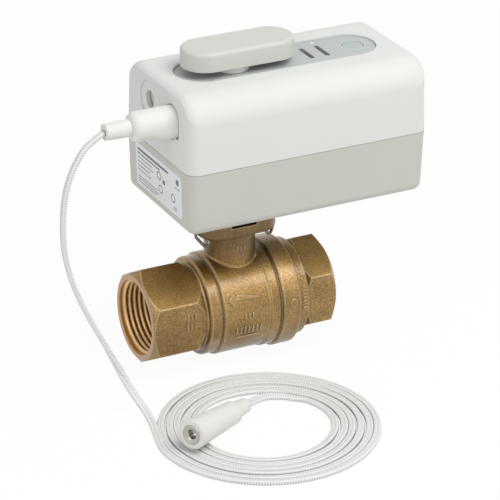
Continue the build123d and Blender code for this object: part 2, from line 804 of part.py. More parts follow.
plate_margin = 3.0
plate_length = pillar_x_right - pillar_x_left + 2 * plate_margin
plate_middle_x = (pillar_x_left + pillar_x_right) / 2
plate_outline = Pos(plate_middle_x, 0) * RectangleRounded(
    plate_length, 2 * (pillar_y + plate_margin), plate_margin)
gear_axle_places = [(second_x, second_y), (first_x, first_y)]
plate_low_z = gearbox_floor_z
plate_high_z = plate_low_z + plate_thickness
gearbox_floor = slab(plate_outline, plate_low_z, plate_high_z)
gearbox_floor -= post(socket_bore, 0, box_top_z)
gearbox_cover = slab(plate_outline, cover_low_z, cover_high_z)
gearbox_cover -= post(shaft_upper_radius + running_gap, 0, box_top_z)
gearbox_cover -= post(motor_shaft_radius + slip_gap, 0, box_top_z, motor_x, motor_y)
for x, y in gear_axle_places:
    gearbox_floor -= post(axle_radius, 0, box_top_z, x, y)
    gearbox_cover -= post(axle_radius, 0, box_top_z, x, y)
save("gearbox_floor", gearbox_floor)
save("gearbox_cover", gearbox_cover)
gear_axles = [post(axle_radius, plate_low_z, cover_high_z, x, y) for x, y in gear_axle_places]
save("gear_axles", Compound(children=gear_axles))
gearbox_pillars = [post(pillar_radius, plate_high_z, cover_low_z, x, y) for x, y in pillar_places]
save("gearbox_pillars", Compound(children=gearbox_pillars))

# Cam on the shaft and the two limit switches that it meets

cam_low_z = 76.0
cam_height = 4.0
cam_radius = 10.5
cam_lobe_radius = 13.0
cam_lobe_angle = 32.2
position_cam = post(cam_radius, cam_low_z, cam_low_z + cam_height)
cam_wedge_reach = 2 * cam_lobe_radius
cam_wedge_half = cam_wedge_reach * math.tan(math.radians(cam_lobe_angle / 2))
cam_wedge = make_face(Polyline(
    (stem_x, 0), (stem_x + cam_wedge_reach, cam_wedge_half),
    (stem_x + cam_wedge_reach, -cam_wedge_half), close=True,
))
cam_lobe = post(cam_lobe_radius, cam_low_z, cam_low_z + cam_height)
position_cam += cam_lobe & slab(cam_wedge, cam_low_z, cam_low_z + cam_height)
position_cam -= post(shaft_upper_radius, 0, box_top_z)
save("position_cam", position_cam)

switch_length = 12.8
switch_breadth = 5.8
switch_height = 6.5
switch_clearance = 1.2
switch_lever = 0.8
limit_switches = []
for side in (-1, 1):
    near = cam_lobe_radius + switch_clearance
    y0, y1 = sorted((side * near, side * (near + switch_breadth)))
    body = block(stem_x - switch_length / 2, stem_x + switch_length / 2, y0, y1, cover_high_z,
                 cover_high_z + switch_height)
    tip0, tip1 = sorted((side * (near - switch_lever), side * near))
    body += block(
        stem_x - switch_lever, stem_x + switch_lever, tip0, tip1, cam_low_z, cam_low_z + cam_height)
    limit_switches.append(body)
save("limit_switches", Compound(children=limit_switches))

shaft_seal_minor = 1.1
shaft_seal = post(shaft_base_radius + 2 * shaft_seal_minor, floor_top_z, gearbox_floor_z)
shaft_seal -= post(shaft_base_radius + running_gap, 0, box_top_z)
save("shaft_seal", shaft_seal)

bush_high_z = panel_low_z - panel_pad_wall + overrun
shaft_bush = post(bush_radius, shaft_neck_z, bush_high_z)
shaft_bush -= post(shaft_top_radius + running_gap, 0, box_top_z)
save("shaft_bush", shaft_bush)

# Lever and its hub

lever_width = 21.0
lever_left_reach = 22.4
lever_right_reach = 28.8
lever_round = 1.7
lever_skin = 2.2
lever_roof = 2.4
hub_radius = 8.2
hub_low_z = panel_top_z + slip_gap

lever_middle_x = stem_x + (lever_right_reach - lever_left_reach) / 2
lever_length = lever_left_reach + lever_right_reach
lever_outline = Pos(lever_middle_x, 0) * SlotOverall(lever_length, lever_width)
lever = slab(lever_outline, lever_low_z, lever_high_z)
lever = fillet(lever.faces().sort_by(Axis.Z)[-1].edges(), lever_round)
pocket = slab(
    Pos(lever_middle_x, 0) * SlotOverall(lever_length - 2 * lever_skin, lever_width - 2 * lever_skin),
    lever_low_z - overrun, lever_high_z - lever_roof)
pocket -= post(hub_radius, 0, lever_high_z)
rib_count = 2
rib_thickness = 1.2
rib_room = lever_right_reach - hub_radius - lever_skin
for index in range(rib_count):
    rib_x = stem_x + hub_radius + rib_room * (index + 1) / (rib_count + 1)
    pocket -= block(
        rib_x, rib_x + rib_thickness, -lever_width, lever_width, lever_low_z, lever_high_z)
lever -= pocket
shaft_end = post(shaft_top_radius, 0, shaft_top_z) - block(
    stem_x - 2 * shaft_top_radius, stem_x + 2 * shaft_top_radius, shaft_flat, 2 * shaft_top_radius,
    lever_low_z, shaft_top_z + overrun)
lever -= shaft_end
save("lever", lever)

lever_hub = post(hub_radius, hub_low_z, lever_low_z)
lever_hub = chamfer(lever_hub.faces().sort_by(Axis.Z)[0].edges(), slip_gap)
lever_hub -= post(shaft_top_radius, 0, lever_high_z)
save("lever_hub", lever_hub)

# Boards and what they carry

board_thickness = 1.6
board_low_z = board_high_z - board_thickness
board_left_inset = 6.0
board_left_x = box_left_x + board_left_inset
board_shaft_hole = 7.6
main_board = block(
    board_left_x, board_right_x, -board_half_width, board_half_width, board_low_z, board_high_z)
main_board -= post(board_shaft_hole, 0, box_top_z)
board_screw_radius = 1.0
for x, y in board_posts:
    main_board -= post(board_screw_radius, 0, box_top_z, x, y)
save("main_board", main_board)

board_screw_head = 2.0
board_screw_rise = 1.2
board_screws = []
for x, y in board_posts:
    screw = post(board_screw_head, board_low_z - board_screw_rise, board_low_z, x, y)
    screw += post(board_screw_radius, board_low_z - edge_ease, board_high_z, x, y)
    board_screws.append(screw)
save("board_screws", Compound(children=board_screws))

module_length = 18.0
module_breadth = 13.0
module_height = 2.6
module_reach = 17.0
module_edge_gap = 0.3
module_x = stem_x + module_reach
module_y = board_half_width - module_breadth / 2 - module_edge_gap
radio_module = Pos(module_x, module_y, board_high_z + module_height / 2) * Box(
    module_length, module_breadth, module_height)
save("radio_module", radio_module)

sounder_radius = 5.4
sounder_height = 5.0
sounder_x = (slot_xs[0] + slot_xs[1]) / 2
sounder_port = 1.5
sounder = post(sounder_radius, board_high_z, board_high_z + sounder_height, sounder_x, 0)
sounder -= post(sounder_port, board_high_z + sounder_height / 2, box_top_z, sounder_x, 0)
save("sounder", sounder)

small_board_half = small_post_y + board_post_radius
button_board = block(
    led_x - 2 * led_radius, button_x + light_ring_radius, -small_board_half, small_board_half,
    small_board_high_z - board_thickness, small_board_high_z)
save("button_board", button_board)

switch_side = 6.0
button_switch = block(button_x - switch_side / 2, button_x + switch_side / 2, -switch_side / 2,
                      switch_side / 2, small_board_high_z, button_switch_z - button_travel)
save("button_switch", button_switch)

jack_body_left = box_left_x + shell_wall + overrun
jack_body_length = 13.0
jack_body_breadth = 9.6
jack_bore_radius = 3.1
jack_bore_depth = 9.5
jack_pin_radius = 1.0
power_jack = block(
    jack_body_left, jack_body_left + jack_body_length, jack_y - jack_body_breadth / 2,
    jack_y + jack_body_breadth / 2, board_high_z, jack_z + jack_hole_radius + overrun)
power_jack -= bar_x(jack_bore_radius, 0, jack_body_left + jack_bore_depth, jack_y, jack_z)
power_jack += bar_x(
    jack_pin_radius, jack_body_left + overrun, jack_body_left + jack_bore_depth + overrun,
    jack_y, jack_z)
save("power_jack", power_jack)

socket_left_x = recess_back_x + recess_wall + slip_gap
socket_length = 11.0
sensor_socket = block(
    socket_left_x, socket_left_x + socket_length, connector_y - socket_breadth / 2,
    connector_y + socket_breadth / 2, board_high_z, connector_z + socket_breadth / 2)
pin_end_x = socket_left_x + socket_length - 2 * overrun
sensor_socket -= bar_x(pin_radius + slip_gap, 0, pin_end_x + overrun, connector_y, connector_z)
save("sensor_socket", sensor_socket)

# Lead connector: moulded plug with a flat-footed base, and its strain relief

connector_stand_out = 18.6
sleeve_length = 11.3
connector_left_x = box_left_x - connector_stand_out
sleeve_left_x = connector_left_x - sleeve_length
connector_shoulder = 2.6
connector_base_length = 7.0
sleeve_radius = 3.75
sleeve_taper = 0.25
cord_radius = 1.4

lead_connector = bar_x(
    connector_radius, connector_left_x, recess_back_x - slip_gap, connector_y, connector_z)
lead_connector = fillet(lead_connector.faces().sort_by(Axis.X)[0].edges(), connector_shoulder)
base = end_prism(
    connector_outline(0), recess_back_x - slip_gap - connector_base_length, recess_back_x - slip_gap)
base = chamfer(base.faces().sort_by(Axis.X)[0].edges(), edge_ease)
lead_connector += base
lead_connector += bar_x(pin_radius, recess_back_x - overrun, pin_end_x, connector_y, connector_z)
save("lead_connector", lead_connector)

lead_sleeve = Pos((sleeve_left_x + connector_left_x) / 2, connector_y, connector_z) * Rot(
    0, 90, 0) * Cone(sleeve_radius - sleeve_taper, sleeve_radius, sleeve_length)
save("lead_sleeve", lead_sleeve)

# Lead: the hanging run, on a route chosen by hand, as straight runs and tangent arcs

surface_z = -collar_radius
coil_z = surface_z + cord_radius
coil_x = 25.3
coil_y = -75.2
coil_outer_radius = 46.0
coil_pitch = 3.3
coil_start_angle = 165.0
coil_quarters = 22
coil_leave_angle = 32.0
coil_last_step = 2.2
coil_end_straight = 2 * cord_radius
cord_sides = 8


def arc_of_turn(centre_x, centre_y, radius, start, sweep_angle):
    """One flat arc of the coil."""
    return CenterArc((centre_x, centre_y, coil_z), radius, start, sweep_angle)


def heading(angle):
    """The direction of travel at an angle of an anticlockwise turn."""
    turn = math.radians(angle)
    return Vector(-math.sin(turn), math.cos(turn), 0)


# Plug: lies across the left strands, its mouth to the left
mouth_ahead = 37.7
mouth_before = 5.2
mouth_rise = 10.5
plug_ahead = 3.2
plug_behind = 14.8
plug_rise = 5.9
mouth = Vector(coil_x - mouth_ahead, coil_y - mouth_before, surface_z + mouth_rise)
plug_end = Vector(coil_x - plug_ahead, coil_y + plug_behind, surface_z + plug_rise)
plug_axis = (plug_end - mouth).normalized()

coil_edges = []
radius = coil_outer_radius
centre_x, centre_y = coil_x, coil_y
angle = coil_start_angle
for quarter in range(coil_quarters + 1):
    last = quarter == coil_quarters
    swept = (coil_leave_angle - angle) % 360 if last else 90
    coil_edges.append(arc_of_turn(centre_x, centre_y, radius, angle, swept))
    angle += swept
    shift = coil_last_step if quarter == coil_quarters - 1 else coil_pitch / 4
    centre_x += shift * math.cos(math.radians(angle))
    centre_y += shift * math.sin(math.radians(angle))
    radius -= shift
coil_start = coil_edges[0] @ 0
coil_end = coil_edges[-1] @ 1
start_heading = heading(coil_start_angle)
end_heading = heading(angle)
coil_mouth = coil_start - start_heading * coil_end_straight
coil_tip = coil_end + end_heading * coil_end_straight
coil_wire = Wire([Line(coil_mouth, coil_start)] + coil_edges + [Line(coil_end, coil_tip)])


def cord_section(path, side_turn=180 / cord_sides):
    """The cord's faceted section, square to the start of a path."""
    start = Plane(origin=path @ 0, x_dir=(path % 0).cross(Vector(0, 0, 1)), z_dir=path % 0)
    return start * RegularPolygon(cord_radius, cord_sides, rotation=side_turn)


lead_coil = sweep(cord_section(coil_wire), path=coil_wire)
save("lead_coil", lead_coil)

approach = 17.0
run_drops = [
    (-5.8, 0, 0), (-12.5, -0.2, -4.4), (-18.7, -0.9, -19.2), (-21.3, -2.2, -35.2),
    (-20.8, -3.8, -51.7), (-16.1, -6.8, -70.7), (-5.2, -12.6, -93.7), (3.7, -18.6, -110.5),
]
sleeve_mouth = Vector(sleeve_left_x, connector_y, connector_z)
run_points = [sleeve_mouth] + [sleeve_mouth + Vector(*drop) for drop in run_drops]
run_points += [coil_mouth - start_heading * approach, coil_mouth]
tail_steps = [
    (17.84, 20.62, 0.5), (13.28, 22.1, 1.25), (8.51, 21.59, 2.2), (4.61, 19.33, 3.1),
    (0.7, 17.07, 3.9),
]
coil_centre = Vector(coil_x, coil_y, coil_z)
tail_points = [coil_tip, coil_tip + end_heading * coil_end_straight]
tail_points += [coil_centre + Vector(*step) for step in tail_steps] + [plug_end]
run_share = 0.45


def cord_radii(points):
    """Each corner's arc: a share of the shorter run over the tangent of half the turn."""
    radii = []
    for before, corner, after in zip(points, points[1:], points[2:]):
        first, second = corner - before, after - corner
        half_turn = math.radians(first.get_angle(second)) / 2
        radii.append(run_share * min(first.length, second.length) / math.tan(half_turn))
    return radii


def cord_tube(name, points):
    """A stretch of the cord along its route, with its radii and volume printed."""
    radii = cord_radii(points)
    path = FilletPolyline(*points, radius=radii)
    tube = sweep(cord_section(path), path=path)
    area = cord_section(path).area
    print(name, "radii", [round(value, 1) for value in radii], "length", round(path.length, 1),
          "volume ratio", round(tube.volume / (area * path.length), 4))
    save(name, tube)
    return path


run_path = cord_tube("lead_run", run_points)
cord_tube("lead_tail", tail_points)

# Female jack: tapered housing, ridged sleeve and nickel insert

plug_length = (plug_end - mouth).length
housing_share = 0.77
housing_mouth_radius = 6.4
housing_end_radius = 5.0
jack_sleeve_radius = 3.9
jack_sleeve_end_radius = 3.2
insert_radius = 4.1
insert_bore_radius = 1.85
insert_depth = 16.0
insert_stand_out = 0.2

plug_plane = Plane(origin=mouth, z_dir=plug_axis)
housing_length = plug_length * housing_share


def spun_plug(outline):
    """A closed outline of (radius, distance from the mouth) points turned about the jack."""
    face = make_face(Polyline(*[(r, 0, along) for r, along in outline], close=True))
    return plug_plane * revolve(face, Axis.Z)


jack_housing = spun_plug([
    (0, 0), (housing_mouth_radius - edge_ease, 0), (housing_mouth_radius, edge_ease),
    (housing_end_radius, housing_length - edge_ease),
    (housing_end_radius - edge_ease, housing_length), (0, housing_length),
])
jack_housing -= spun_plug([
    (0, -overrun), (insert_radius, -overrun), (insert_radius, insert_depth), (0, insert_depth),
])
save("jack_housing", jack_housing)
jack_insert = spun_plug([
    (0, -insert_stand_out), (insert_radius, -insert_stand_out), (insert_radius, insert_depth),
    (0, insert_depth),
])
jack_insert -= spun_plug([
    (0, -overrun), (insert_bore_radius, -overrun), (insert_bore_radius, insert_depth - overrun),
    (0, insert_depth - overrun),
])
save("jack_insert", jack_insert)
jack_sleeve = spun_plug([
    (0, housing_length), (jack_sleeve_radius, housing_length),
    (jack_sleeve_end_radius, plug_length), (0, plug_length),
])
save("jack_sleeve", jack_sleeve)

# The coil's least gap to itself, measured on points along its middle line
samples_per_turn = 72
samples = []
for edge in coil_edges:
    count = max(4, round(samples_per_turn * edge.length / (2 * math.pi * edge.radius)))
    samples += [(edge @ (index / count), edge.length / count) for index in range(count)]
least = coil_outer_radius
least_loop = 6 * math.pi * cord_radius
for index, (point, step) in enumerate(samples):
    along = 0
    for other, other_step in samples[index + 1:]:
        along += other_step
        if along > least_loop:
            least = min(least, (point - other).length)
print("coil", round(coil_wire.length, 1), "mm long, least gap", round(least - 2 * cord_radius, 2),
      "volume ratio", round(lead_coil.volume / (cord_section(coil_wire).area * coil_wire.length), 4))
print("run end heading", run_path % 1, "coil start heading", start_heading)
print("tail angle", round(angle % 360, 1), "coil tip", coil_tip, "plug end", plug_end)
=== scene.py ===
import math

import bpy
import numpy as np
from mathutils import Matrix, Vector


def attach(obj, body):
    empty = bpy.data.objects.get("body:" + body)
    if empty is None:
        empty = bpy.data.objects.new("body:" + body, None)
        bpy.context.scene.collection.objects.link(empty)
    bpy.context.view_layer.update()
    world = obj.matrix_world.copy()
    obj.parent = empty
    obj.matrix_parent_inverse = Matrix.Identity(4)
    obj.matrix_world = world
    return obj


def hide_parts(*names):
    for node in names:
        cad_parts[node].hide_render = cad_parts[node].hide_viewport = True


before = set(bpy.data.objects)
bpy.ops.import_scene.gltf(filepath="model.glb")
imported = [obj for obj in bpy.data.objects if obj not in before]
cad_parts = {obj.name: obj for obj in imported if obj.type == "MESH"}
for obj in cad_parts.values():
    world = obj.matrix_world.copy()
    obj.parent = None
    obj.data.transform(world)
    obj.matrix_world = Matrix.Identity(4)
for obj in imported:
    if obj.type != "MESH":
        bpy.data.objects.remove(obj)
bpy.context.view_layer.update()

# Camera: a long lens from the left front, a little above, as the product was photographed.
# The valve's pipe runs along X and the lead lies on the table in front of it.

azimuth, elevation, roll = (math.radians(angle) for angle in (-27.355, 25.501, 0.574))
camera_place = (-0.43548, -0.94825, 0.52987)
back = Vector((math.sin(azimuth) * math.cos(elevation), -math.cos(azimuth) * math.cos(elevation),
               math.sin(elevation)))
level = Vector((math.cos(azimuth), math.sin(azimuth), 0))
upright = back.cross(level)
right = math.cos(roll) * level + math.sin(roll) * upright
up = math.cos(roll) * upright - math.sin(roll) * level
lens = bpy.data.cameras.new("camera")
lens.sensor_width = 36
lens.lens = 196.15
lens.clip_start = 0.1
lens.clip_end = 20
camera = bpy.data.objects.new("camera", lens)
bpy.context.scene.collection.objects.link(camera)
camera.matrix_world = Matrix.Translation(camera_place) @ Matrix((right, up, back)).transposed().to_4x4()
bpy.context.scene.camera = camera

# Studio: a white table, a pale room, a large soft lamp high in front on the right and a
# smaller one on the left. The table and the room show white, and the table keeps a shadow.


def linear(code):
    """An sRGB hex colour as linear red, green, blue and alpha."""
    parts = [int(code[k:k + 2], 16) / 255 for k in (1, 3, 5)]
    return tuple(p / 12.92 if p <= 0.04045 else ((p + 0.055) / 1.055) ** 2.4 for p in parts) + (1,)


def add(tree, kind, settings=(), **links):
    """Adds a node: settings are attributes, links are inputs by name, with _ for a space.

    An input given as a node takes that node's first output, one given as a pair takes the
    named output, and anything else is set on the socket itself.
    """
    node = tree.nodes.new(kind)
    for key, value in dict(settings).items():
        setattr(node, key, value)
    for key, value in links.items():
        socket = node.inputs[int(key[1:])] if key[1:].isdigit() else node.inputs[key.replace("_", " ")]
        if isinstance(value, bpy.types.Node):
            tree.links.new(value.outputs[0], socket)
        elif isinstance(value, tuple) and isinstance(value[0], bpy.types.Node):
            tree.links.new(value[0].outputs[value[1]], socket)
        else:
            socket.default_value = value
    return node


def seen_share(tree):
    """1 where the camera, or a gloss or glass ray, looks at a surface, and 0 for its light."""
    path = add(tree, "ShaderNodeLightPath")
    gloss = add(tree, "ShaderNodeMath", {"operation": "MAXIMUM"},
                _0=(path, "Is Camera Ray"), _1=(path, "Is Glossy Ray"))
    return add(tree, "ShaderNodeMath", {"operation": "MAXIMUM"},
               _0=gloss, _1=(path, "Is Transmission Ray"))


# Matt white. What is seen of it is white by this share, so that its shadow is faint.
own_white = 0.955
table = bpy.data.materials.new("white_table")
table.use_nodes = True
table.node_tree.nodes.clear()
share = add(table.node_tree, "ShaderNodeMath", {"operation": "MULTIPLY"},
            _0=seen_share(table.node_tree), _1=own_white)
matt = add(table.node_tree, "ShaderNodeBsdfDiffuse", Color=linear("#F2F2F0"))
glow = add(table.node_tree, "ShaderNodeEmission", Color=(1, 1, 1, 1), Strength=1.0)
both = add(table.node_tree, "ShaderNodeMixShader", Fac=share, _1=matt, _2=glow)
add(table.node_tree, "ShaderNodeOutputMaterial", Surface=both)

table_height, table_half = -0.0245, 4.0
ground = bpy.data.meshes.new("table_top")
ground.from_pydata([(-table_half, -table_half, table_height), (table_half, -table_half, table_height),
                    (table_half, table_half, table_height), (-table_half, table_half, table_height)],
                   [], [(0, 1, 2, 3)])
ground.materials.append(table)
table_top = bpy.data.objects.new("table_top", ground)
bpy.context.scene.collection.objects.link(table_top)

room = bpy.data.worlds.new("pale_room")
bpy.context.scene.world = room
room.use_nodes = True
room.node_tree.nodes.clear()
lit = add(room.node_tree, "ShaderNodeBackground", Color=linear("#EEF0F4"), Strength=0.5)
white = add(room.node_tree, "ShaderNodeBackground", Color=(1, 1, 1, 1), Strength=1.0)
both = add(room.node_tree, "ShaderNodeMixShader", Fac=seen_share(room.node_tree), _1=lit, _2=white)
add(room.node_tree, "ShaderNodeOutputWorld", Surface=both)


def soft_lamp(name, place, size, watts):
    """A square soft box aimed at the middle of the valve."""
    valve_middle = Vector((0.05, 0, 0.05))
    light = bpy.data.lights.new(name, "AREA")
    light.size = size
    light.energy = watts
    lamp = bpy.data.objects.new(name, light)
    lamp.location = place
    lamp.rotation_euler = (valve_middle - Vector(place)).to_track_quat("-Z", "Y").to_euler()
    bpy.context.scene.collection.objects.link(lamp)


soft_lamp("high_front_box", (0.34, -0.50, 1.0), 0.8, 9.0)
soft_lamp("left_box", (-1.0, -0.35, 0.45), 0.7, 2.7)
bpy.context.scene.view_settings.view_transform = "Standard"

# Lead: a flat sensing cable, two conductors side by side in one white polyester braid. It
# is plugged into the box, hangs from there, turns on the table and lies in a loose coil.

lead_width, lead_thickness = 3.4, 2.1
# Control points in millimetres, from the connector down to the table.
hanging_points = [
    (-19.5, -14.0, 95.2), (-23.4, -14.0, 93.2), (-29.8, -14.2, 88.9), (-37.1, -14.9, 75.9),
    (-39.9, -16.2, 59.8), (-39.8, -17.8, 43.3), (-34.8, -20.8, 24.2), (-24.2, -26.6, 1.3),
    (-17.4, -32.6, -15.4), (-14.01, -44.17, -23.0), (-18.41, -60.59, -23.1),
]

# The coil winds in from its first radius by the spread a turn. The spread is a little wider
# on one side, the turns wander, and the coil is drawn out to the right. A spline of order 3
# runs inside its control points, at the inside share of their radius.
coil_x, coil_y, coil_z = 25.8, -72.6, -23.15
coil_radius, coil_spread, coil_start = 46.9, 3.46, 165
spread_more, spread_turned, drawn_by, inside_share = 0.07, math.radians(20), 2.0, 0.9915
wander_by, wander_rate, wander_phase, wander_steps = 0.22, 0.61, 1.3, 12
turn_points, coil_steps = 24, 135
coil_points = []
for step in range(1, coil_steps + 1):
    angle = math.radians(coil_start + step * 360 / turn_points)
    spread = coil_spread + spread_more * math.cos(angle + spread_turned)
    wander = wander_by * math.sin(angle * wander_rate + wander_phase) * min(1, step / wander_steps)
    radius = (coil_radius + wander - spread * (step / turn_points)) / inside_share
    drawn_out = drawn_by * max(0, math.cos(angle)) ** 2
    coil_points.append((coil_x + radius * math.cos(angle) + drawn_out,
                        coil_y + radius * math.sin(angle), coil_z))

# From the coil's inner end up and round into the jack.
tail_points = [
    (47.9, -57.3, -23.0), (43.8, -54.2, -22.5), (38.8, -53.0, -21.75), (33.81, -53.61, -20.8),
    (29.91, -55.87, -19.9), (26.0, -58.13, -19.1), (22.1, -60.4, -18.5),
]


def spline_path(name, points):
    """Points in metres along a smooth spline of order 3 with control points in millimetres."""
    control = np.array(points, float) / 1000
    curve = bpy.data.curves.new(name, "CURVE")
    curve.dimensions = "3D"
    curve.resolution_u = 8
    spline = curve.splines.new("NURBS")
    spline.points.add(len(control) - 1)
    spline.points.foreach_set("co", np.column_stack((control, np.ones(len(control)))).ravel())
    spline.order_u = 3
    spline.use_endpoint_u = True
    holder = bpy.data.objects.new(name, curve)
    bpy.context.scene.collection.objects.link(holder)
    line = bpy.data.meshes.new_from_object(holder)
    path = np.empty(len(line.vertices) * 3)
    line.vertices.foreach_get("co", path)
    bpy.data.objects.remove(holder)
    bpy.data.curves.remove(curve)
    bpy.data.meshes.remove(line)
    return path.reshape(-1, 3)


def evenly(path, spacing):
    """The same line with points a steady distance apart, and each one's distance along it."""
    steps = np.r_[0, np.cumsum(np.linalg.norm(np.diff(path, axis=0), axis=1))]
    marks = np.linspace(0, steps[-1], max(4, round(steps[-1] / spacing)) + 1)
    return np.column_stack([np.interp(marks, steps, path[:, k]) for k in range(3)]), marks


def eased(share):
    """The share held between 0 and 1, with a soft start and a soft end."""
    held = np.clip(share, 0, 1)
    return held * held * (3 - 2 * held)


def grid_mesh(name, points, closed_u=False, closed_v=False, uv=None, smooth=True, caps=False):
    """A surface from an array of points (rows, columns, 3), joined round where it closes.

    uv gives the u of each column, with one more where the columns join round, and the v of
    each row. Caps close the first and the last row.
    """
    rows, columns = points.shape[:2]
    row, column = np.meshgrid(np.arange(rows if closed_u else rows - 1),
                              np.arange(columns if closed_v else columns - 1), indexing="ij")
    row, column = row.ravel(), column.ravel()
    next_row, next_column = (row + 1) % rows, (column + 1) % columns
    faces = np.column_stack((row * columns + column, row * columns + next_column,
                             next_row * columns + next_column, next_row * columns + column)).tolist()
    if caps:
        faces.append(list(range(columns))[::-1])
        faces.append([(rows - 1) * columns + k for k in range(columns)])
    mesh = bpy.data.meshes.new(name)
    mesh.from_pydata(points.reshape(-1, 3).tolist(), [], faces)
    if uv is not None:
        u_values, v_values = uv
        u, next_u = u_values[column], u_values[column + 1]
        v, next_v = v_values[row], v_values[next_row]
        corners = np.column_stack((u, v, next_u, v, next_u, next_v, u, next_v)).ravel()
        flat = np.zeros(len(mesh.loops) * 2)
        flat[:len(corners)] = corners
        mesh.uv_layers.new(name="surface").data.foreach_set("uv", flat)
    mesh.polygons.foreach_set("use_smooth", np.full(len(mesh.polygons), smooth))
    mesh.update()
    piece = bpy.data.objects.new(name, mesh)
    bpy.context.scene.collection.objects.link(piece)
    return piece


def flat_cord(name, path, marks, side, tilt, width, thickness, lobe_columns=12):
    """A twin-lobed flat tube along the path.

    A ring is the outline of two round lobes side by side: a point lies half the thickness
    from its lobe's middle at an angle t, and the middles are half of the width less the
    thickness to each side. The lobes meet where the cosine of t is less than nothing by
    that distance over the lobe's radius. The tilt turns the ring about the path.
    """
    ahead = np.gradient(path, axis=0)
    ahead /= np.linalg.norm(ahead, axis=1)[:, None]
    side = side - (side * ahead).sum(1)[:, None] * ahead
    side /= np.linalg.norm(side, axis=1)[:, None]
    over = np.cross(ahead, side)
    side, over = (side * np.cos(tilt)[:, None] + over * np.sin(tilt)[:, None],
                  over * np.cos(tilt)[:, None] - side * np.sin(tilt)[:, None])
    lobe, offset = thickness / 2, (width - thickness) / 2
    meet = math.acos(-offset / lobe)
    right_turn = np.linspace(-meet, meet, lobe_columns + 1)
    left_turn = math.pi + right_turn[1:-1]
    across = np.r_[offset + lobe * np.cos(right_turn), -offset + lobe * np.cos(left_turn)]
    rise = np.r_[lobe * np.sin(right_turn), lobe * np.sin(left_turn)]
    rings = path[:, None] + side[:, None] * across[None, :, None] + over[:, None] * rise[None, :, None]
    return grid_mesh(name, rings, closed_v=True, caps=True,
                     uv=(np.linspace(0, 1, len(across) + 1), marks * 1000))


def blended(tree, share, first, second):
    """A colour that goes from one to the other as the share goes from 0 to 1.

    The Mix node keeps its two colours at inputs 6 and 7, and their mix at output 2.
    """
    mixed = add(tree, "ShaderNodeMix", {"data_type": "RGBA"}, _0=share)
    for socket, value in zip(mixed.inputs[6:8], (first, second)):
        if isinstance(value, str):
            socket.default_value = linear(value)
        else:
            tree.links.new(value, socket)
    return mixed.outputs[2]


def new_material(name, colour, roughness, metallic=0.0):
    """A material with one Principled shader, its tree and its shader."""
    material = bpy.data.materials.new(name)
    material.use_nodes = True
    tree = material.node_tree
    tree.nodes.clear()
    shader = add(tree, "ShaderNodeBsdfPrincipled", Base_Color=linear(colour), Roughness=roughness,
                 Metallic=metallic)
    add(tree, "ShaderNodeOutputMaterial", Surface=shader)
    return material, tree, shader


# White braid, matt and softly ribbed: the stitches slant one way on one column and the
# other way on the next, and each dips at its sides. The dark lines between stitches are the
# weave's own, and the darkening towards each lobe's sides and waist is painted shade. The
# real stitches are 0.6 mm long, and they are drawn 1.1 mm long so that they show.
braid, tree, shader = new_material("woven_polyester_braid", "#F4F4F2", 0.5)
shader.inputs["Sheen Weight"].default_value = 0.04
stitches_round, stitches_per_mm, crown_share = 4.0, 0.9, 0.36
flat_map = add(tree, "ShaderNodeUVMap", {"uv_map": "surface"})
axes = add(tree, "ShaderNodeSeparateXYZ", Vector=flat_map)
round_part = add(tree, "ShaderNodeMath", {"operation": "MULTIPLY"}, _0=(axes, "X"), _1=stitches_round)
long_part = add(tree, "ShaderNodeMath", {"operation": "MULTIPLY"}, _0=(axes, "Y"), _1=stitches_per_mm)
slant_one = add(tree, "ShaderNodeMath", {"operation": "ADD"}, _0=round_part, _1=long_part)
slant_other = add(tree, "ShaderNodeMath", {"operation": "SUBTRACT"}, _0=round_part, _1=long_part)
waves = []
for slant in (slant_one, slant_other, round_part):
    half_turn = add(tree, "ShaderNodeMath", {"operation": "MULTIPLY"}, _0=slant, _1=math.pi)
    wave = add(tree, "ShaderNodeMath", {"operation": "SINE"}, _0=half_turn)
    waves.append(add(tree, "ShaderNodeMath", {"operation": "ABSOLUTE"}, _0=wave))
pairs = add(tree, "ShaderNodeMath", {"operation": "MULTIPLY"}, _0=round_part, _1=0.5)
column = add(tree, "ShaderNodeMath", {"operation": "FRACT"}, _0=pairs)
other_way = add(tree, "ShaderNodeMath", {"operation": "GREATER_THAN"}, _0=column, _1=0.5)
stitch = add(tree, "ShaderNodeMix", {"data_type": "FLOAT"}, Factor=other_way, A=waves[0], B=waves[1])
height = add(tree, "ShaderNodeMix", {"data_type": "FLOAT"}, Factor=crown_share, A=stitch, B=waves[2])
# Darker where the height is low: the stitch lines, and painted shade at the lobes' sides and waist.
shade = add(tree, "ShaderNodeValToRGB", Fac=height)
shade.color_ramp.elements[0].color = linear("#B4B5B0")
shade.color_ramp.elements[0].position = 0.1
shade.color_ramp.elements[1].color = linear("#E6E6E3")
shade.color_ramp.elements[1].position = 0.62
# Painted shade: an occlusion node darkens the creases between the strands and each one's waist.
near = add(tree, "ShaderNodeAmbientOcclusion", {"samples": 6}, Distance=0.0016)
unshaded_share = add(tree, "ShaderNodeMapRange", Value=(near, "AO"), From_Min=0.25, From_Max=0.8)
tree.links.new(blended(tree, unshaded_share, "#8F908B", shade.outputs["Color"]), shader.inputs["Base Color"])
bump = add(tree, "ShaderNodeBump", Strength=0.5, Distance=0.00013, Height=height)
tree.links.new(bump.outputs["Normal"], shader.inputs["Normal"])

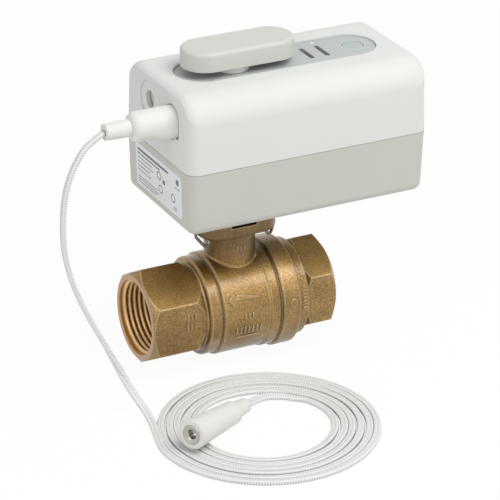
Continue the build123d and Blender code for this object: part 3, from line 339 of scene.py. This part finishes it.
# The lead hangs with its width running from front to back, turns flat as it comes down to
# the table, rolls a little from there on, and tilts where it goes into the jack.
ring_gap, turn_from, turn_over = 0.0009, 0.085, 0.065
roll_by, roll_length, roll_phase = math.radians(11), 0.0213, 0.6
tilt_by, tilt_from, tilt_over = math.radians(45), 0.034, 0.022
lead_route = hanging_points + coil_points + tail_points
lead_line, lead_marks = evenly(spline_path("lead_route", lead_route), ring_gap)
heading = np.gradient(lead_line, axis=0)
level_side = np.column_stack((heading[:, 1], -heading[:, 0], np.zeros(len(heading))))
level_side /= np.linalg.norm(level_side, axis=1)[:, None] + 1e-9
flat_share = eased((lead_marks - turn_from) / turn_over)[:, None]
lead_side = (1 - flat_share) * np.array((0, 1.0, 0)) + flat_share * level_side
lead_tilt = roll_by * np.sin(lead_marks / roll_length + roll_phase) * flat_share[:, 0]
lead_tilt -= tilt_by * np.clip((lead_marks - lead_marks[-1] + tilt_from) / tilt_over, 0, 1)
lead = flat_cord("braided_lead", lead_line, lead_marks, lead_side, lead_tilt, lead_width / 1000,
                 lead_thickness / 1000)
lead.data.materials.append(braid)
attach(lead, "valve_and_box")
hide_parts("lead_run", "lead_coil", "lead_tail")

# Moulded ends of the lead: the connector with its sleeve, and the jack at the other end,
# both moulded over the cable in white thermoplastic elastomer. The jack's insert is turned
# brass with nickel plating, and is pressed in.


def dress(material, *names):
    """Gives a material to CAD pieces, in every slot that they have."""
    for name in names:
        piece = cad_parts[name]
        if not piece.data.materials:
            piece.data.materials.append(material)
        for slot in piece.material_slots:
            slot.material = material


def grain(tree, size, detail=3.0, roughness=0.5):
    """Noise on the object's own coordinates whose grains are about size millimetres."""
    place = add(tree, "ShaderNodeTexCoord")
    return add(tree, "ShaderNodeTexNoise", Vector=(place, "Object"), Scale=1000 / size, Detail=detail,
               Roughness=roughness)


def moulded(name, colour, darker, roughness, size, depth, edge=0.0, shine=0.5, seam=None):
    """A moulded finish: a very faint colour drift, and a fine grain that also makes the gloss
    patchy. The grain's size and depth are in millimetres.

    Where edge is given, in millimetres, corners catch the light as if rounded by that much.
    Where seam is given, a height in millimetres, the shadow of a fine joint line lies there.
    """
    drift_grains, patchiness = 120, 0.04
    material, tree, shader = new_material(name, colour, roughness)
    shader.inputs["Specular IOR Level"].default_value = shine
    drift = grain(tree, size * drift_grains, detail=1.0)
    tint = add(tree, "ShaderNodeValToRGB", Fac=drift)
    tint.color_ramp.elements[0].color = linear(darker)
    tint.color_ramp.elements[0].position = 0.2
    tint.color_ramp.elements[1].color = linear(colour)
    tint.color_ramp.elements[1].position = 0.8
    finish = tint.outputs["Color"]
    if seam:
        place = add(tree, "ShaderNodeTexCoord")
        axes = add(tree, "ShaderNodeSeparateXYZ", Vector=(place, "Object"))
        above = add(tree, "ShaderNodeMath", {"operation": "SUBTRACT"}, _0=(axes, "Z"), _1=seam / 1000)
        away = add(tree, "ShaderNodeMath", {"operation": "ABSOLUTE"}, _0=above)
        clear = add(tree, "ShaderNodeMapRange", Value=away, From_Min=0.00008, From_Max=0.0003)
        finish = blended(tree, clear, "#B2B2AB", finish)
    tree.links.new(finish, shader.inputs["Base Color"])
    fine = grain(tree, size)
    patch = add(tree, "ShaderNodeMapRange", Value=fine,
                To_Min=roughness - patchiness, To_Max=roughness + patchiness)
    tree.links.new(patch.outputs["Result"], shader.inputs["Roughness"])
    bump = add(tree, "ShaderNodeBump", Strength=0.5, Distance=depth / 1000, Height=fine)
    if edge:
        softened = add(tree, "ShaderNodeBevel", {"samples": 6}, Radius=edge / 1000)
        tree.links.new(softened.outputs["Normal"], bump.inputs["Normal"])
    tree.links.new(bump.outputs["Normal"], shader.inputs["Normal"])
    return material


# Soft warm white with a broad satin sheen and no sharp glint.
soft_white = moulded("satin_elastomer", "#E3E3DC", "#E1E1DA", 0.5, 0.25, 0.006, edge=0.5, shine=0.35)
dress(soft_white, "lead_sleeve", "jack_housing", "jack_sleeve")


def plug_body(name, columns=72):
    """The plug: a round barrel that turns into a flat-footed end, as rings along the pipe.

    A ring's reach at an angle is the barrel's radius times a share, 1 for a circle. Below
    the middle it grows with the foot's weight towards the edge of a square with rounded
    corners, whose reach is (|cos|^n + |sin|^n)^(-1/n) with n = 5. The weight rises smoothly
    along the barrel, and the shoulder is a quarter of an ellipse.
    """
    start, shoulder, straight, seat, pin_end = -8.2, 2.9, -4.4, 14.1, 25.0
    barrel, sleeve, pin = 6.4, 3.9, 1.75
    foot_start, foot_over, power = -1.0, 9.5, 5
    middle_y, middle_z = -14.0, 95.2
    quarter = np.linspace(0, math.pi / 2, 9)[1:]
    barrel_along = np.linspace(straight, seat, 22)
    along = np.r_[start, start + shoulder * (1 - np.cos(quarter)), barrel_along,
                  seat + 0.05, pin_end, pin_end + 0.4]
    radius = np.r_[sleeve, sleeve + (barrel - sleeve) * np.sin(quarter),
                   np.full(len(barrel_along), barrel), pin, pin, pin * 0.4]
    turn = np.linspace(0, 2 * math.pi, columns, endpoint=False)
    weight = np.where(along > seat + 0.01, 0, eased((along - foot_start) / foot_over))
    square = (np.abs(np.cos(turn)) ** power + np.abs(np.sin(turn)) ** power) ** (-1 / power)
    below = np.where(np.sin(turn) < 0, square, 1.0)
    reach = radius[:, None] * (1 + weight[:, None] * (below[None] - 1))
    points = np.stack((np.broadcast_to(along[:, None], reach.shape), middle_y + reach * np.cos(turn),
                       middle_z + reach * np.sin(turn)), axis=2)
    return grid_mesh(name, points / 1000, closed_v=True, caps=True)


connector = plug_body("plug_body")
connector.data.materials.append(soft_white)
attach(connector, "valve_and_box")
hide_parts("lead_connector")

# Warm grey nickel with the soft, slightly streaky gloss of a turned and plated part.
nickel, tree, shader = new_material("turned_nickel_plate", "#B0AEA8", 0.24, 1.0)
scratch = grain(tree, 0.3, detail=5.0)
patch = add(tree, "ShaderNodeMapRange", Value=scratch, To_Min=0.2, To_Max=0.28)
tree.links.new(patch.outputs["Result"], shader.inputs["Roughness"])
jack_mouth, jack_end = np.array((-12.4, -80.4, -13.9)), np.array((22.1, -60.4, -18.5))


def turned_socket(name, columns=64):
    """The jack's socket, turned about the line from its mouth to the lead's end.

    The profile is a list of (radius, depth from the mouth): the hole's floor, its wall, a
    chamfer, a slightly dished face, a rounded rim and the barrel. Inside the hole a contact
    spring stands in, as a share of the radius that falls off as exp(-(angle / width)^2).
    """
    profile = np.array([(0.3, 3.2), (1.7, 3.2), (1.78, 1.6), (1.85, 0.6), (2.25, 0.12), (2.5, 0.06),
                        (3.1, -0.02), (3.6, -0.15), (3.85, -0.2), (4.02, -0.12), (4.1, 0.1), (4.1, 9.0),
                        (0.3, 9.0)])
    hole_rows, spring_share, spring_angle, spring_width = 3, 0.3, 3.4, 0.35
    ahead = (jack_end - jack_mouth) / np.linalg.norm(jack_end - jack_mouth)
    side = np.cross(ahead, (0, 0, 1.0))
    side /= np.linalg.norm(side)
    over = np.cross(side, ahead)
    turn = np.linspace(0, 2 * math.pi, columns, endpoint=False)
    away = abs(turn - spring_angle)
    away = np.minimum(away, 2 * math.pi - away)
    spring = 1 - spring_share * np.exp(-(away / spring_width) ** 2)
    in_hole = np.arange(len(profile))[:, None] < hole_rows
    reach = profile[:, 0, None] * np.where(in_hole, spring[None], 1)
    points = (jack_mouth + ahead * profile[:, 1, None, None] + side * (reach * np.cos(turn))[..., None]
              + over * (reach * np.sin(turn))[..., None])
    return grid_mesh(name, points[:, ::-1] / 1000, closed_v=True, caps=True)


socket = turned_socket("jack_socket")
socket.data.materials.append(nickel)
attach(socket, "valve_and_box")
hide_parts("jack_insert")

# Valve: a body cast in brass with its neck, and an end piece of the same brass that is
# screwed into the body's wide collar. Both are shot-blasted after casting, and their ports
# and end faces are machined.

valve_end, port_wall = 88.0, 16.9


def cut_shares(tree):
    """Two shares that are 1 where a tool has cut, inside the ports and on the end faces."""
    middle = valve_end / 2000
    place = add(tree, "ShaderNodeTexCoord")
    axes = add(tree, "ShaderNodeSeparateXYZ", Vector=(place, "Object"))
    across = add(tree, "ShaderNodeCombineXYZ", Y=(axes, "Y"), Z=(axes, "Z"))
    reach = add(tree, "ShaderNodeVectorMath", {"operation": "LENGTH"}, _0=across)
    bored = add(tree, "ShaderNodeMath", {"operation": "LESS_THAN"}, _0=(reach, "Value"),
                _1=port_wall / 1000)
    from_middle = add(tree, "ShaderNodeMath", {"operation": "SUBTRACT"}, _0=(axes, "X"), _1=middle)
    away = add(tree, "ShaderNodeMath", {"operation": "ABSOLUTE"}, _0=from_middle)
    faced = add(tree, "ShaderNodeMath", {"operation": "GREATER_THAN"}, _0=away, _1=middle - 0.0001)
    return bored, faced


def brass(name, tones, bore, shade_tone, roughness, size, depth):
    """Brass whose colour runs through three tones over a fine grain and a faint broad drift.

    It is lighter along its corners, a painted highlight, and darker where other surfaces
    stand near and on the neck and head, above the pipe: painted shade, most of it under the
    box. A thin clear coat stands for the oxide's greyish gloss, and the bores, dulled by
    cutting oil, are part matt. The grain's size and depth are in millimetres.
    """
    broad_grains, fine_weight, broad_weight = 26, 0.68, 0.32
    material, tree, shader = new_material(name, tones[1], roughness, 1.0)
    broad = grain(tree, size * broad_grains, detail=2.0)
    fine = grain(tree, size, detail=2.0, roughness=0.6)
    speck = add(tree, "ShaderNodeMath", {"operation": "MULTIPLY"}, _0=fine, _1=fine_weight)
    mottle = add(tree, "ShaderNodeMath", {"operation": "MULTIPLY_ADD"},
                 _0=broad, _1=broad_weight, _2=speck)
    tone = add(tree, "ShaderNodeValToRGB", Fac=mottle)
    tone.color_ramp.elements[0].color = linear(tones[0])
    tone.color_ramp.elements[0].position = 0.35
    tone.color_ramp.elements[1].color = linear(tones[2])
    tone.color_ramp.elements[1].position = 0.67
    tone.color_ramp.elements.new(0.5).color = linear(tones[1])
    # Painted shade: darker where other surfaces stand near, out to 22 mm, so under the box too.
    near = add(tree, "ShaderNodeAmbientOcclusion", {"samples": 6}, Distance=0.022)
    unshaded_share = add(tree, "ShaderNodeMapRange", Value=(near, "AO"), From_Min=0.2, From_Max=0.72)
    place = add(tree, "ShaderNodeTexCoord")
    axes = add(tree, "ShaderNodeSeparateXYZ", Vector=(place, "Object"))
    # Painted shade: darker on the neck and head, above the pipe, in the box's shadow.
    upper = add(tree, "ShaderNodeMapRange", Value=(axes, "Z"), From_Min=0.021, From_Max=0.03, To_Max=0.5)
    shaded_above = blended(tree, upper, tone.outputs["Color"], shade_tone)
    shaded = blended(tree, unshaded_share, shade_tone, shaded_above)
    # Painted highlight: lighter along the corners, found where the rounded normal turns from the true one.
    softened = add(tree, "ShaderNodeBevel", {"samples": 6}, Radius=0.0013)
    facing = add(tree, "ShaderNodeNewGeometry")
    alike = add(tree, "ShaderNodeVectorMath", {"operation": "DOT_PRODUCT"}, _0=softened,
                _1=(facing, "Normal"))
    edge_highlight = add(tree, "ShaderNodeMapRange", Value=(alike, "Value"), From_Min=0.995, From_Max=0.86,
                 To_Max=0.48)
    highlighted = blended(tree, edge_highlight, shaded, tones[3])
    bored, faced = cut_shares(tree)
    turned = blended(tree, faced, highlighted, "#A98052")
    tree.links.new(blended(tree, bored, turned, bore), shader.inputs["Base Color"])
    oxide = add(tree, "ShaderNodeMapRange", Value=bored, To_Min=1.0, To_Max=0.6)
    tree.links.new(oxide.outputs["Result"], shader.inputs["Metallic"])
    cut = add(tree, "ShaderNodeMath", {"operation": "MAXIMUM"}, _0=bored, _1=faced)
    patch = add(tree, "ShaderNodeMapRange", Value=mottle, From_Min=0.35, From_Max=0.65,
                To_Min=roughness + 0.08, To_Max=roughness - 0.08)
    tool = add(tree, "ShaderNodeMix", {"data_type": "FLOAT"}, Factor=cut, A=patch, B=0.42)
    tree.links.new(tool.outputs["Result"], shader.inputs["Roughness"])
    rough_share = add(tree, "ShaderNodeMapRange", Value=cut, To_Min=0.9, To_Max=0.1)
    bump = add(tree, "ShaderNodeBump", Strength=rough_share, Distance=depth / 1000, Height=fine,
               Normal=softened)
    tree.links.new(bump.outputs["Normal"], shader.inputs["Normal"])
    shader.inputs["Coat Weight"].default_value = 0.8
    shader.inputs["Coat Roughness"].default_value = 0.24
    return material


# Sand-cast and shot-blasted: matt and speckled, with painted shade in its hollows and
# under the box, a painted highlight along its edges, and a smoother copper tone where it is machined.
cast_brass = brass("sand_cast_brass", ("#7B5E30", "#94733E", "#BD9D64", "#E6D4A8"), "#BE8A4A", "#4A3618",
                   0.52, 0.5, 0.06)
# Turned: clear yellow and smooth, with a sharper gloss than the casting.
turned_brass = brass("turned_brass", ("#BE9450", "#D6AC64", "#E8C88A", "#F5E4BC"), "#E6C084", "#8A5A24",
                     0.28, 0.3, 0.01)
dress(cast_brass, "valve_body", "end_connector")

# Pipe threads: parallel inch thread of eleven turns to the inch, cut into the brass of both
# ports. The ridge stands in from the port's wall and fades out at its inner end.

thread_pitch, thread_wall, thread_crest = 2.309, 16.64, 15.2


def thread_ridge(name, start, towards):
    """A helical ridge: its place along X grows by a pitch a turn, and its section is a
    rounded triangle from the wall in to the crest, drawn down to nothing at both ends."""
    turns, turn_rings, first_gap, root_depth = 6.6, 72, 1.3, 0.05
    fade_in, fade_out, least = 1.2, 3.0, 0.02
    angle = np.linspace(0, turns * 2 * math.pi, int(turns * turn_rings))
    fade = np.clip(np.minimum(angle / fade_in, (angle[-1] - angle) / fade_out), least, 1)
    across = np.array((-1.15, -0.75, -0.32, 0.0, 0.32, 0.75, 1.15))
    height = np.array((0, 0.3, 0.88, 1.0, 0.88, 0.3, 0))
    along = start + towards * (first_gap + angle[:, None] / (2 * math.pi) * thread_pitch + across[None])
    reach = thread_wall - (thread_wall - thread_crest) * height[None] * fade[:, None]
    reach = np.column_stack((reach, np.full(len(angle), thread_wall + root_depth)))
    along = np.column_stack((along, along[:, 3]))
    points = np.stack((along, -reach * np.cos(angle)[:, None], reach * np.sin(angle)[:, None]), axis=2)
    if towards > 0:
        points = points[:, ::-1]
    return grid_mesh(name, points / 1000, closed_v=True, caps=True)


for name, start, towards in (("inlet_thread", 0.0, 1), ("outlet_thread", valve_end, -1)):
    ridge = thread_ridge(name, start, towards)
    ridge.data.materials.append(turned_brass)
    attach(ridge, "valve_and_box")

# Cast marks: a raised flow arrow on the drum, and rows of plain raised bars below it, on the
# left flank, round the end flange and on the neck, with a small round pad on the collar.
# They are part of the brass castings and have their finish.


def raised_marks(name, outlines, height, place):
    """Flat outlines of (along, up) points, each raised into a plate with sloping sides.

    Every outline is drawn in to 0.86 of its size about its middle at the top, its foot is
    sunk into the casting, and place turns arrays of along, up and height into x, y and z.
    All are in millimetres.
    """
    top_share, foot = 0.86, -0.25
    points, faces, start = [], [], 0
    for outline in outlines:
        low = np.array(outline, float)
        count = len(low)
        middle = low.mean(0)
        top = middle + (low - middle) * top_share
        for ring, lift in ((low, foot), (top, height)):
            points.append(np.column_stack(place(ring[:, 0], ring[:, 1], np.full(count, lift))))
        ring = start + np.arange(count)
        after = start + (np.arange(count) + 1) % count
        faces += np.column_stack((ring, after, after + count, ring + count)).tolist()
        faces += [ring[::-1].tolist(), (ring + count).tolist()]
        start += 2 * count
    mesh = bpy.data.meshes.new(name)
    mesh.from_pydata((np.vstack(points) / 1000).tolist(), [], faces)
    piece = bpy.data.objects.new(name, mesh)
    bpy.context.scene.collection.objects.link(piece)
    piece.data.materials.append(cast_brass)
    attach(piece, "valve_and_box")


def bar(along, up, length, height):
    """A plain upright or lying bar about its middle, as an outline."""
    return [(along - length / 2, up - height / 2), (along + length / 2, up - height / 2),
            (along + length / 2, up + height / 2), (along - length / 2, up + height / 2)]


def round_pipe(radius, x, angle):
    """Wraps marks round the pipe: along it from x, and round it from an angle above the front
    by the distance up over the radius."""
    def place(along, up, height):
        turn = math.radians(angle) + up / radius
        out = radius + height
        return x + along, -out * np.cos(turn), out * np.sin(turn)
    return place


def on_flank(along, up, height):
    """Lays marks on the front flat of the left hexagon."""
    front_flat, flank_x, flank_z = 38.5 / 2, 17.6, 0.5
    return flank_x + along, -(front_flat + height), flank_z + up


def round_neck(along, up, height):
    """Wraps marks round the front of the neck by the distance along over its radius."""
    neck, neck_x, neck_z = 11.2, 45.0, 28.6
    out = neck + height
    return neck_x + out * np.sin(along / neck), -out * np.cos(along / neck), neck_z + up


drum, flange, collar = 22.7, 21.7, 24.4
arrow_tail = [(-4.9, 2.1), (7.4, -1.0), (7.2, -1.6), (-5.4, -0.9)]
arrow_barbs = [(-5.6, 3.0), (-4.7, 2.5), (-7.5, -0.2), (-5.6, -3.2), (-6.6, -3.6), (-9.2, -0.3)]
raised_marks("flow_arrow", [arrow_tail, arrow_barbs], 0.5, round_pipe(drum, 43.0, 25.5))
drum_bars = [bar(step * 1.9, 0, 0.7, 3.6) for step in range(-3, 4)]
drum_bars += [bar(step * 1.9, 6.6, 0.7, 2.8) for step in (-1, 0, 1)]
drum_bars += [bar(0, -3.4, 12.2, 0.5)]
raised_marks("drum_bars", drum_bars, 0.4, round_pipe(drum, 43.5, -13.0))
flank_bars = [bar(step * 1.8, row * 4.2, 0.7, 3.0) for row in (0, 1) for step in (-1, 0, 1)]
raised_marks("flank_bars", flank_bars, 0.4, on_flank)
flange_bars = [bar(0.3 * (step % 2), step * 1.55, 1.9, 0.6) for step in range(13)]
raised_marks("flange_bars", flange_bars, 0.3, round_pipe(flange, 71.0, -2.0))
neck_bars = [bar(step * 1.6, 0, 0.6, 2.4) for step in (-1, 0, 1)]
raised_marks("neck_bars", neck_bars, 0.25, round_neck)
pad_turn = np.linspace(0, 2 * math.pi, 24, endpoint=False)
pad_outline = np.column_stack((1.8 * np.cos(pad_turn), 2.6 * np.sin(pad_turn)))
raised_marks("collar_pad", [pad_outline], 0.25, round_pipe(collar, 64.4, 8.0))

# Clip: one length of round stainless spring wire, bent to a fork with two hooks. It is
# pushed in from the back, round the neck, and holds the box's foot on the valve's head.

# Drawn wire: grey steel, its colour darkened and warmed as a painted reflection of the brass beside it,
# bright with fine streaks.
wire, tree, shader = new_material("drawn_stainless_wire", "#7C766A", 0.25, 1.0)
streak = grain(tree, 0.25, detail=4.0)
patch = add(tree, "ShaderNodeMapRange", Value=streak, To_Min=0.16, To_Max=0.4)
tree.links.new(patch.outputs["Result"], shader.inputs["Roughness"])
dress(wire, "retaining_clip")

# Housing: an upper half in white and a lower half in warm grey ABS, both moulded with a
# fine spark-eroded grain and screwed together from below. A fine joint line runs round
# where they meet.

joint_height = 76.0
# Clean white, matt enough for soft, wide highlights along its rounded edges.
white_shell = moulded("white_moulded_abs", "#DFDFDA", "#DDDDD8", 0.58, 0.25, 0.004, edge=0.7, shine=0.3,
                      seam=joint_height)
# Warm light grey with the same matt grain.
grey_shell = moulded("warm_grey_moulded_abs", "#C9C8C0", "#C6C5BD", 0.55, 0.25, 0.004, edge=0.7,
                     shine=0.35, seam=joint_height)
dress(white_shell, "upper_shell")
dress(grey_shell, "lower_shell")

# Rating label: a thin silver-white polyester plate, printed in grey and glued to the left
# end of the grey half. It carries only plain grey rules, blocks and rings.

label_right, label_left, label_low, label_high = -24.0, 20.6, 53.4, 72.8
ink_low, ink_high = 0.11, 0.15


def label_place(y, z, lift):
    """Points on the left end, lift millimetres off it: X grows by the draft below the joint."""
    joint_x, draft, foot_height = 10.4, 0.9, 48.3
    return joint_x + draft * (joint_height - z) / (joint_height - foot_height) - lift, y, z


def label_patch(name, y0, y1, z0, z1, corner, low, high):
    """A rounded rectangle on the left end between two lifts off its surface: points at a
    corner's radius from the middles of its four corners."""
    turn = np.linspace(0, 2 * math.pi, 32, endpoint=False) + math.pi / 4
    half_y, half_z = (y1 - y0) / 2 - corner, (z1 - z0) / 2 - corner
    y = (y0 + y1) / 2 + np.sign(np.cos(turn)) * half_y + corner * np.cos(turn)
    z = (z0 + z1) / 2 + np.sign(np.sin(turn)) * half_z + corner * np.sin(turn)
    rings = np.stack([np.column_stack(label_place(y, z, lift)) for lift in (low, high)])
    return grid_mesh(name, rings / 1000, closed_v=True, caps=True, smooth=False)


def label_ring(name, y, z, radius, thick):
    """A thin flat ring: its section is a rectangle carried round a circle on the left end."""
    turn = np.linspace(0, 2 * math.pi, 40, endpoint=False)
    inner, outer = radius - thick / 2, radius + thick / 2
    reach = np.array((inner, inner, outer, outer))[:, None]
    lift = np.array((ink_low, ink_high, ink_high, ink_low))[:, None]
    points = np.stack(label_place(y + reach * np.cos(turn), z + reach * np.sin(turn), lift), axis=2)
    return grid_mesh(name, points / 1000, closed_u=True, closed_v=True, smooth=False)


# Film with a pale silvery ground and a low gloss, and flat mid-grey ink on it.
polyester = moulded("silvered_polyester_film", "#E5E6E7", "#DEDFE0", 0.3, 0.3, 0.004)
ink = moulded("grey_printing_ink", "#6D6F75", "#626469", 0.5, 0.3, 0.004)
label = label_patch("rating_label", label_right, label_left, label_low, label_high, 1.8, -0.02, 0.12)
label.data.materials.append(polyester)
rule_left = 18.8
heading_rules = ((30, 1.1), (22, 0.6), (14, 0.35), (15, 0.35), (12, 0.35), (13, 0.35))
foot_rules = ((19, 0.35), (20, 0.35), (18, 0.35))
marks = []
for rules, first, step in ((heading_rules, label_high - 2.6, 1.9), (foot_rules, label_low + 4.2, 1.25)):
    for row, (length, thick) in enumerate(rules):
        z = first - row * step
        marks.append(label_patch(f"label_rule_{len(marks)}", rule_left - length, rule_left,
                                 z - thick / 2, z + thick / 2, thick / 2.2, ink_low, ink_high))
for y, z, wide, tall in ((-20.0, 69.2, 2.6, 2.6), (-6.8, 64.0, 2.4, 2.0), (-19.6, 66.2, 5.0, 0.35),
                         (-17.2, 56.6, 3.4, 0.35), (-17.2, 55.6, 3.4, 0.35)):
    marks.append(label_patch(f"label_block_{len(marks)}", y - wide / 2, y + wide / 2,
                             z - tall / 2, z + tall / 2, min(wide, tall) / 4, ink_low, ink_high))
for y, z, radius in ((-2.2, 65.4, 1.7), (-3.4, 59.6, 1.7), (-15.6, 60.4, 1.7)):
    marks.append(label_ring(f"label_ring_{len(marks)}", y, z, radius, 0.45))
for mark in marks:
    mark.data.materials.append(ink)
for piece in [label] + marks:
    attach(piece, "valve_and_box")

# Top panel: an inlay moulded in satin grey ABS and snapped into the upper half, with the
# button, the light ring round it and the status light, which are frosted light guides.

# Satin mid grey, smoother than the shells, and a button that is a shade cooler.
panel_grey = moulded("satin_grey_abs", "#B9BDB9", "#B7BBB7", 0.45, 0.25, 0.003, edge=0.3, shine=0.4)
button_grey = moulded("cool_grey_abs", "#B3BBB8", "#B1B9B6", 0.45, 0.25, 0.003, edge=0.3, shine=0.4)
# An unlit tinted ring that barely stands off the panel, and a paler frosted spot.
ring_frost = moulded("tinted_light_guide", "#C5CFCC", "#C2CCC9", 0.4, 0.3, 0.003, edge=0.3, shine=0.4)
spot_frost = moulded("frosted_light_guide", "#DFE5E0", "#DBE1DC", 0.35, 0.3, 0.003, edge=0.3)
dress(panel_grey, "top_panel")
dress(button_grey, "push_button")
dress(ring_frost, "light_ring")
dress(spot_frost, "status_light")

# Lever and hub: the hand lever is moulded in light grey ABS, and the acetal hub under it
# is pressed onto the drive shaft and turns with it.

# Light warm grey with a soft satin top.
lever_grey = moulded("light_grey_moulded_abs", "#CDCEC6", "#CBCCC4", 0.5, 0.25, 0.004, edge=0.3,
                     shine=0.4)
# Matt off-white, lighter than the acetal itself: painted light in the lever's shade.
hub_white = moulded("off_white_acetal", "#FAFAF6", "#F7F7F3", 0.6, 0.25, 0.003, edge=0.4)
dress(lever_grey, "lever")
dress(hub_white, "lever_hub")

# Inside: a chromed ball in white seats, steel shafts and screws, moulded gears between
# plated plates, the circuit boards with their parts, and black rubber seals. The ports show
# the ball and its seats, and the rest is shut in.


def metal(name, colour, roughness, size):
    """A machined metal with a fine uneven polish."""
    material, tree, shader = new_material(name, colour, roughness, 1.0)
    fine = grain(tree, size, detail=4.0)
    patch = add(tree, "ShaderNodeMapRange", Value=fine, To_Min=roughness * 0.7, To_Max=roughness * 1.4)
    tree.links.new(patch.outputs["Result"], shader.inputs["Roughness"])
    return material


dress(turned_brass, "stem", "gland_nut")
# Polished chrome, close to a mirror, with a cool tone.
dress(metal("chromed_brass", "#D9DCDF", 0.1, 0.4), "ball")
# Machined white plastic, waxy and even.
dress(moulded("white_ptfe", "#EFEFEB", "#E8E8E4", 0.5, 0.4, 0.004),
      "ball_seats", "thrust_washer", "gland_packing")
# Dull black rubber with hardly any gloss.
dress(moulded("black_nitrile_rubber", "#1D1D1E", "#161617", 0.62, 0.3, 0.01),
      "body_seal", "stem_seals", "shell_seal", "shaft_seal")
# Neutral grey steel with the broken gloss of a lathe.
dress(metal("turned_steel", "#B4B6B8", 0.32, 0.3),
      "shell_screws", "drive_shaft", "gear_axles", "gearbox_pillars", "board_screws", "motor_pinion")
# Bluish zinc, softly clouded.
dress(metal("zinc_plated_steel", "#C3C8CC", 0.38, 0.8), "gearbox_floor", "gearbox_cover", "gear_motor")
# Ivory plastic with a slippery low gloss.
dress(moulded("natural_acetal", "#E6E2D2", "#DFDACA", 0.42, 0.3, 0.006),
      "output_gear", "second_gear", "first_gear", "position_cam", "shaft_bush")
# Near-black plastic, and the same plastic in a pale tone, made lighter as painted light in the jack's
# recess, both with a fine matt grain.
dress(moulded("black_moulded_nylon", "#232425", "#1C1D1E", 0.5, 0.25, 0.01),
      "mounting_socket", "limit_switches", "sounder", "button_switch", "sensor_socket")
# Lighter than the housing's white: painted light against the shade in the jack's recess.
dress(moulded("pale_moulded_nylon", "#F2F2EC", "#EEEEE8", 0.5, 0.25, 0.01), "power_jack")
# Deep green solder mask with a low, even gloss.
dress(moulded("green_circuit_board", "#1F5A38", "#1A4E30", 0.35, 0.5, 0.006), "main_board", "button_board")
# Bright tin, a little cloudy.
dress(metal("tinned_shield", "#C9CBCC", 0.3, 0.5), "radio_module")
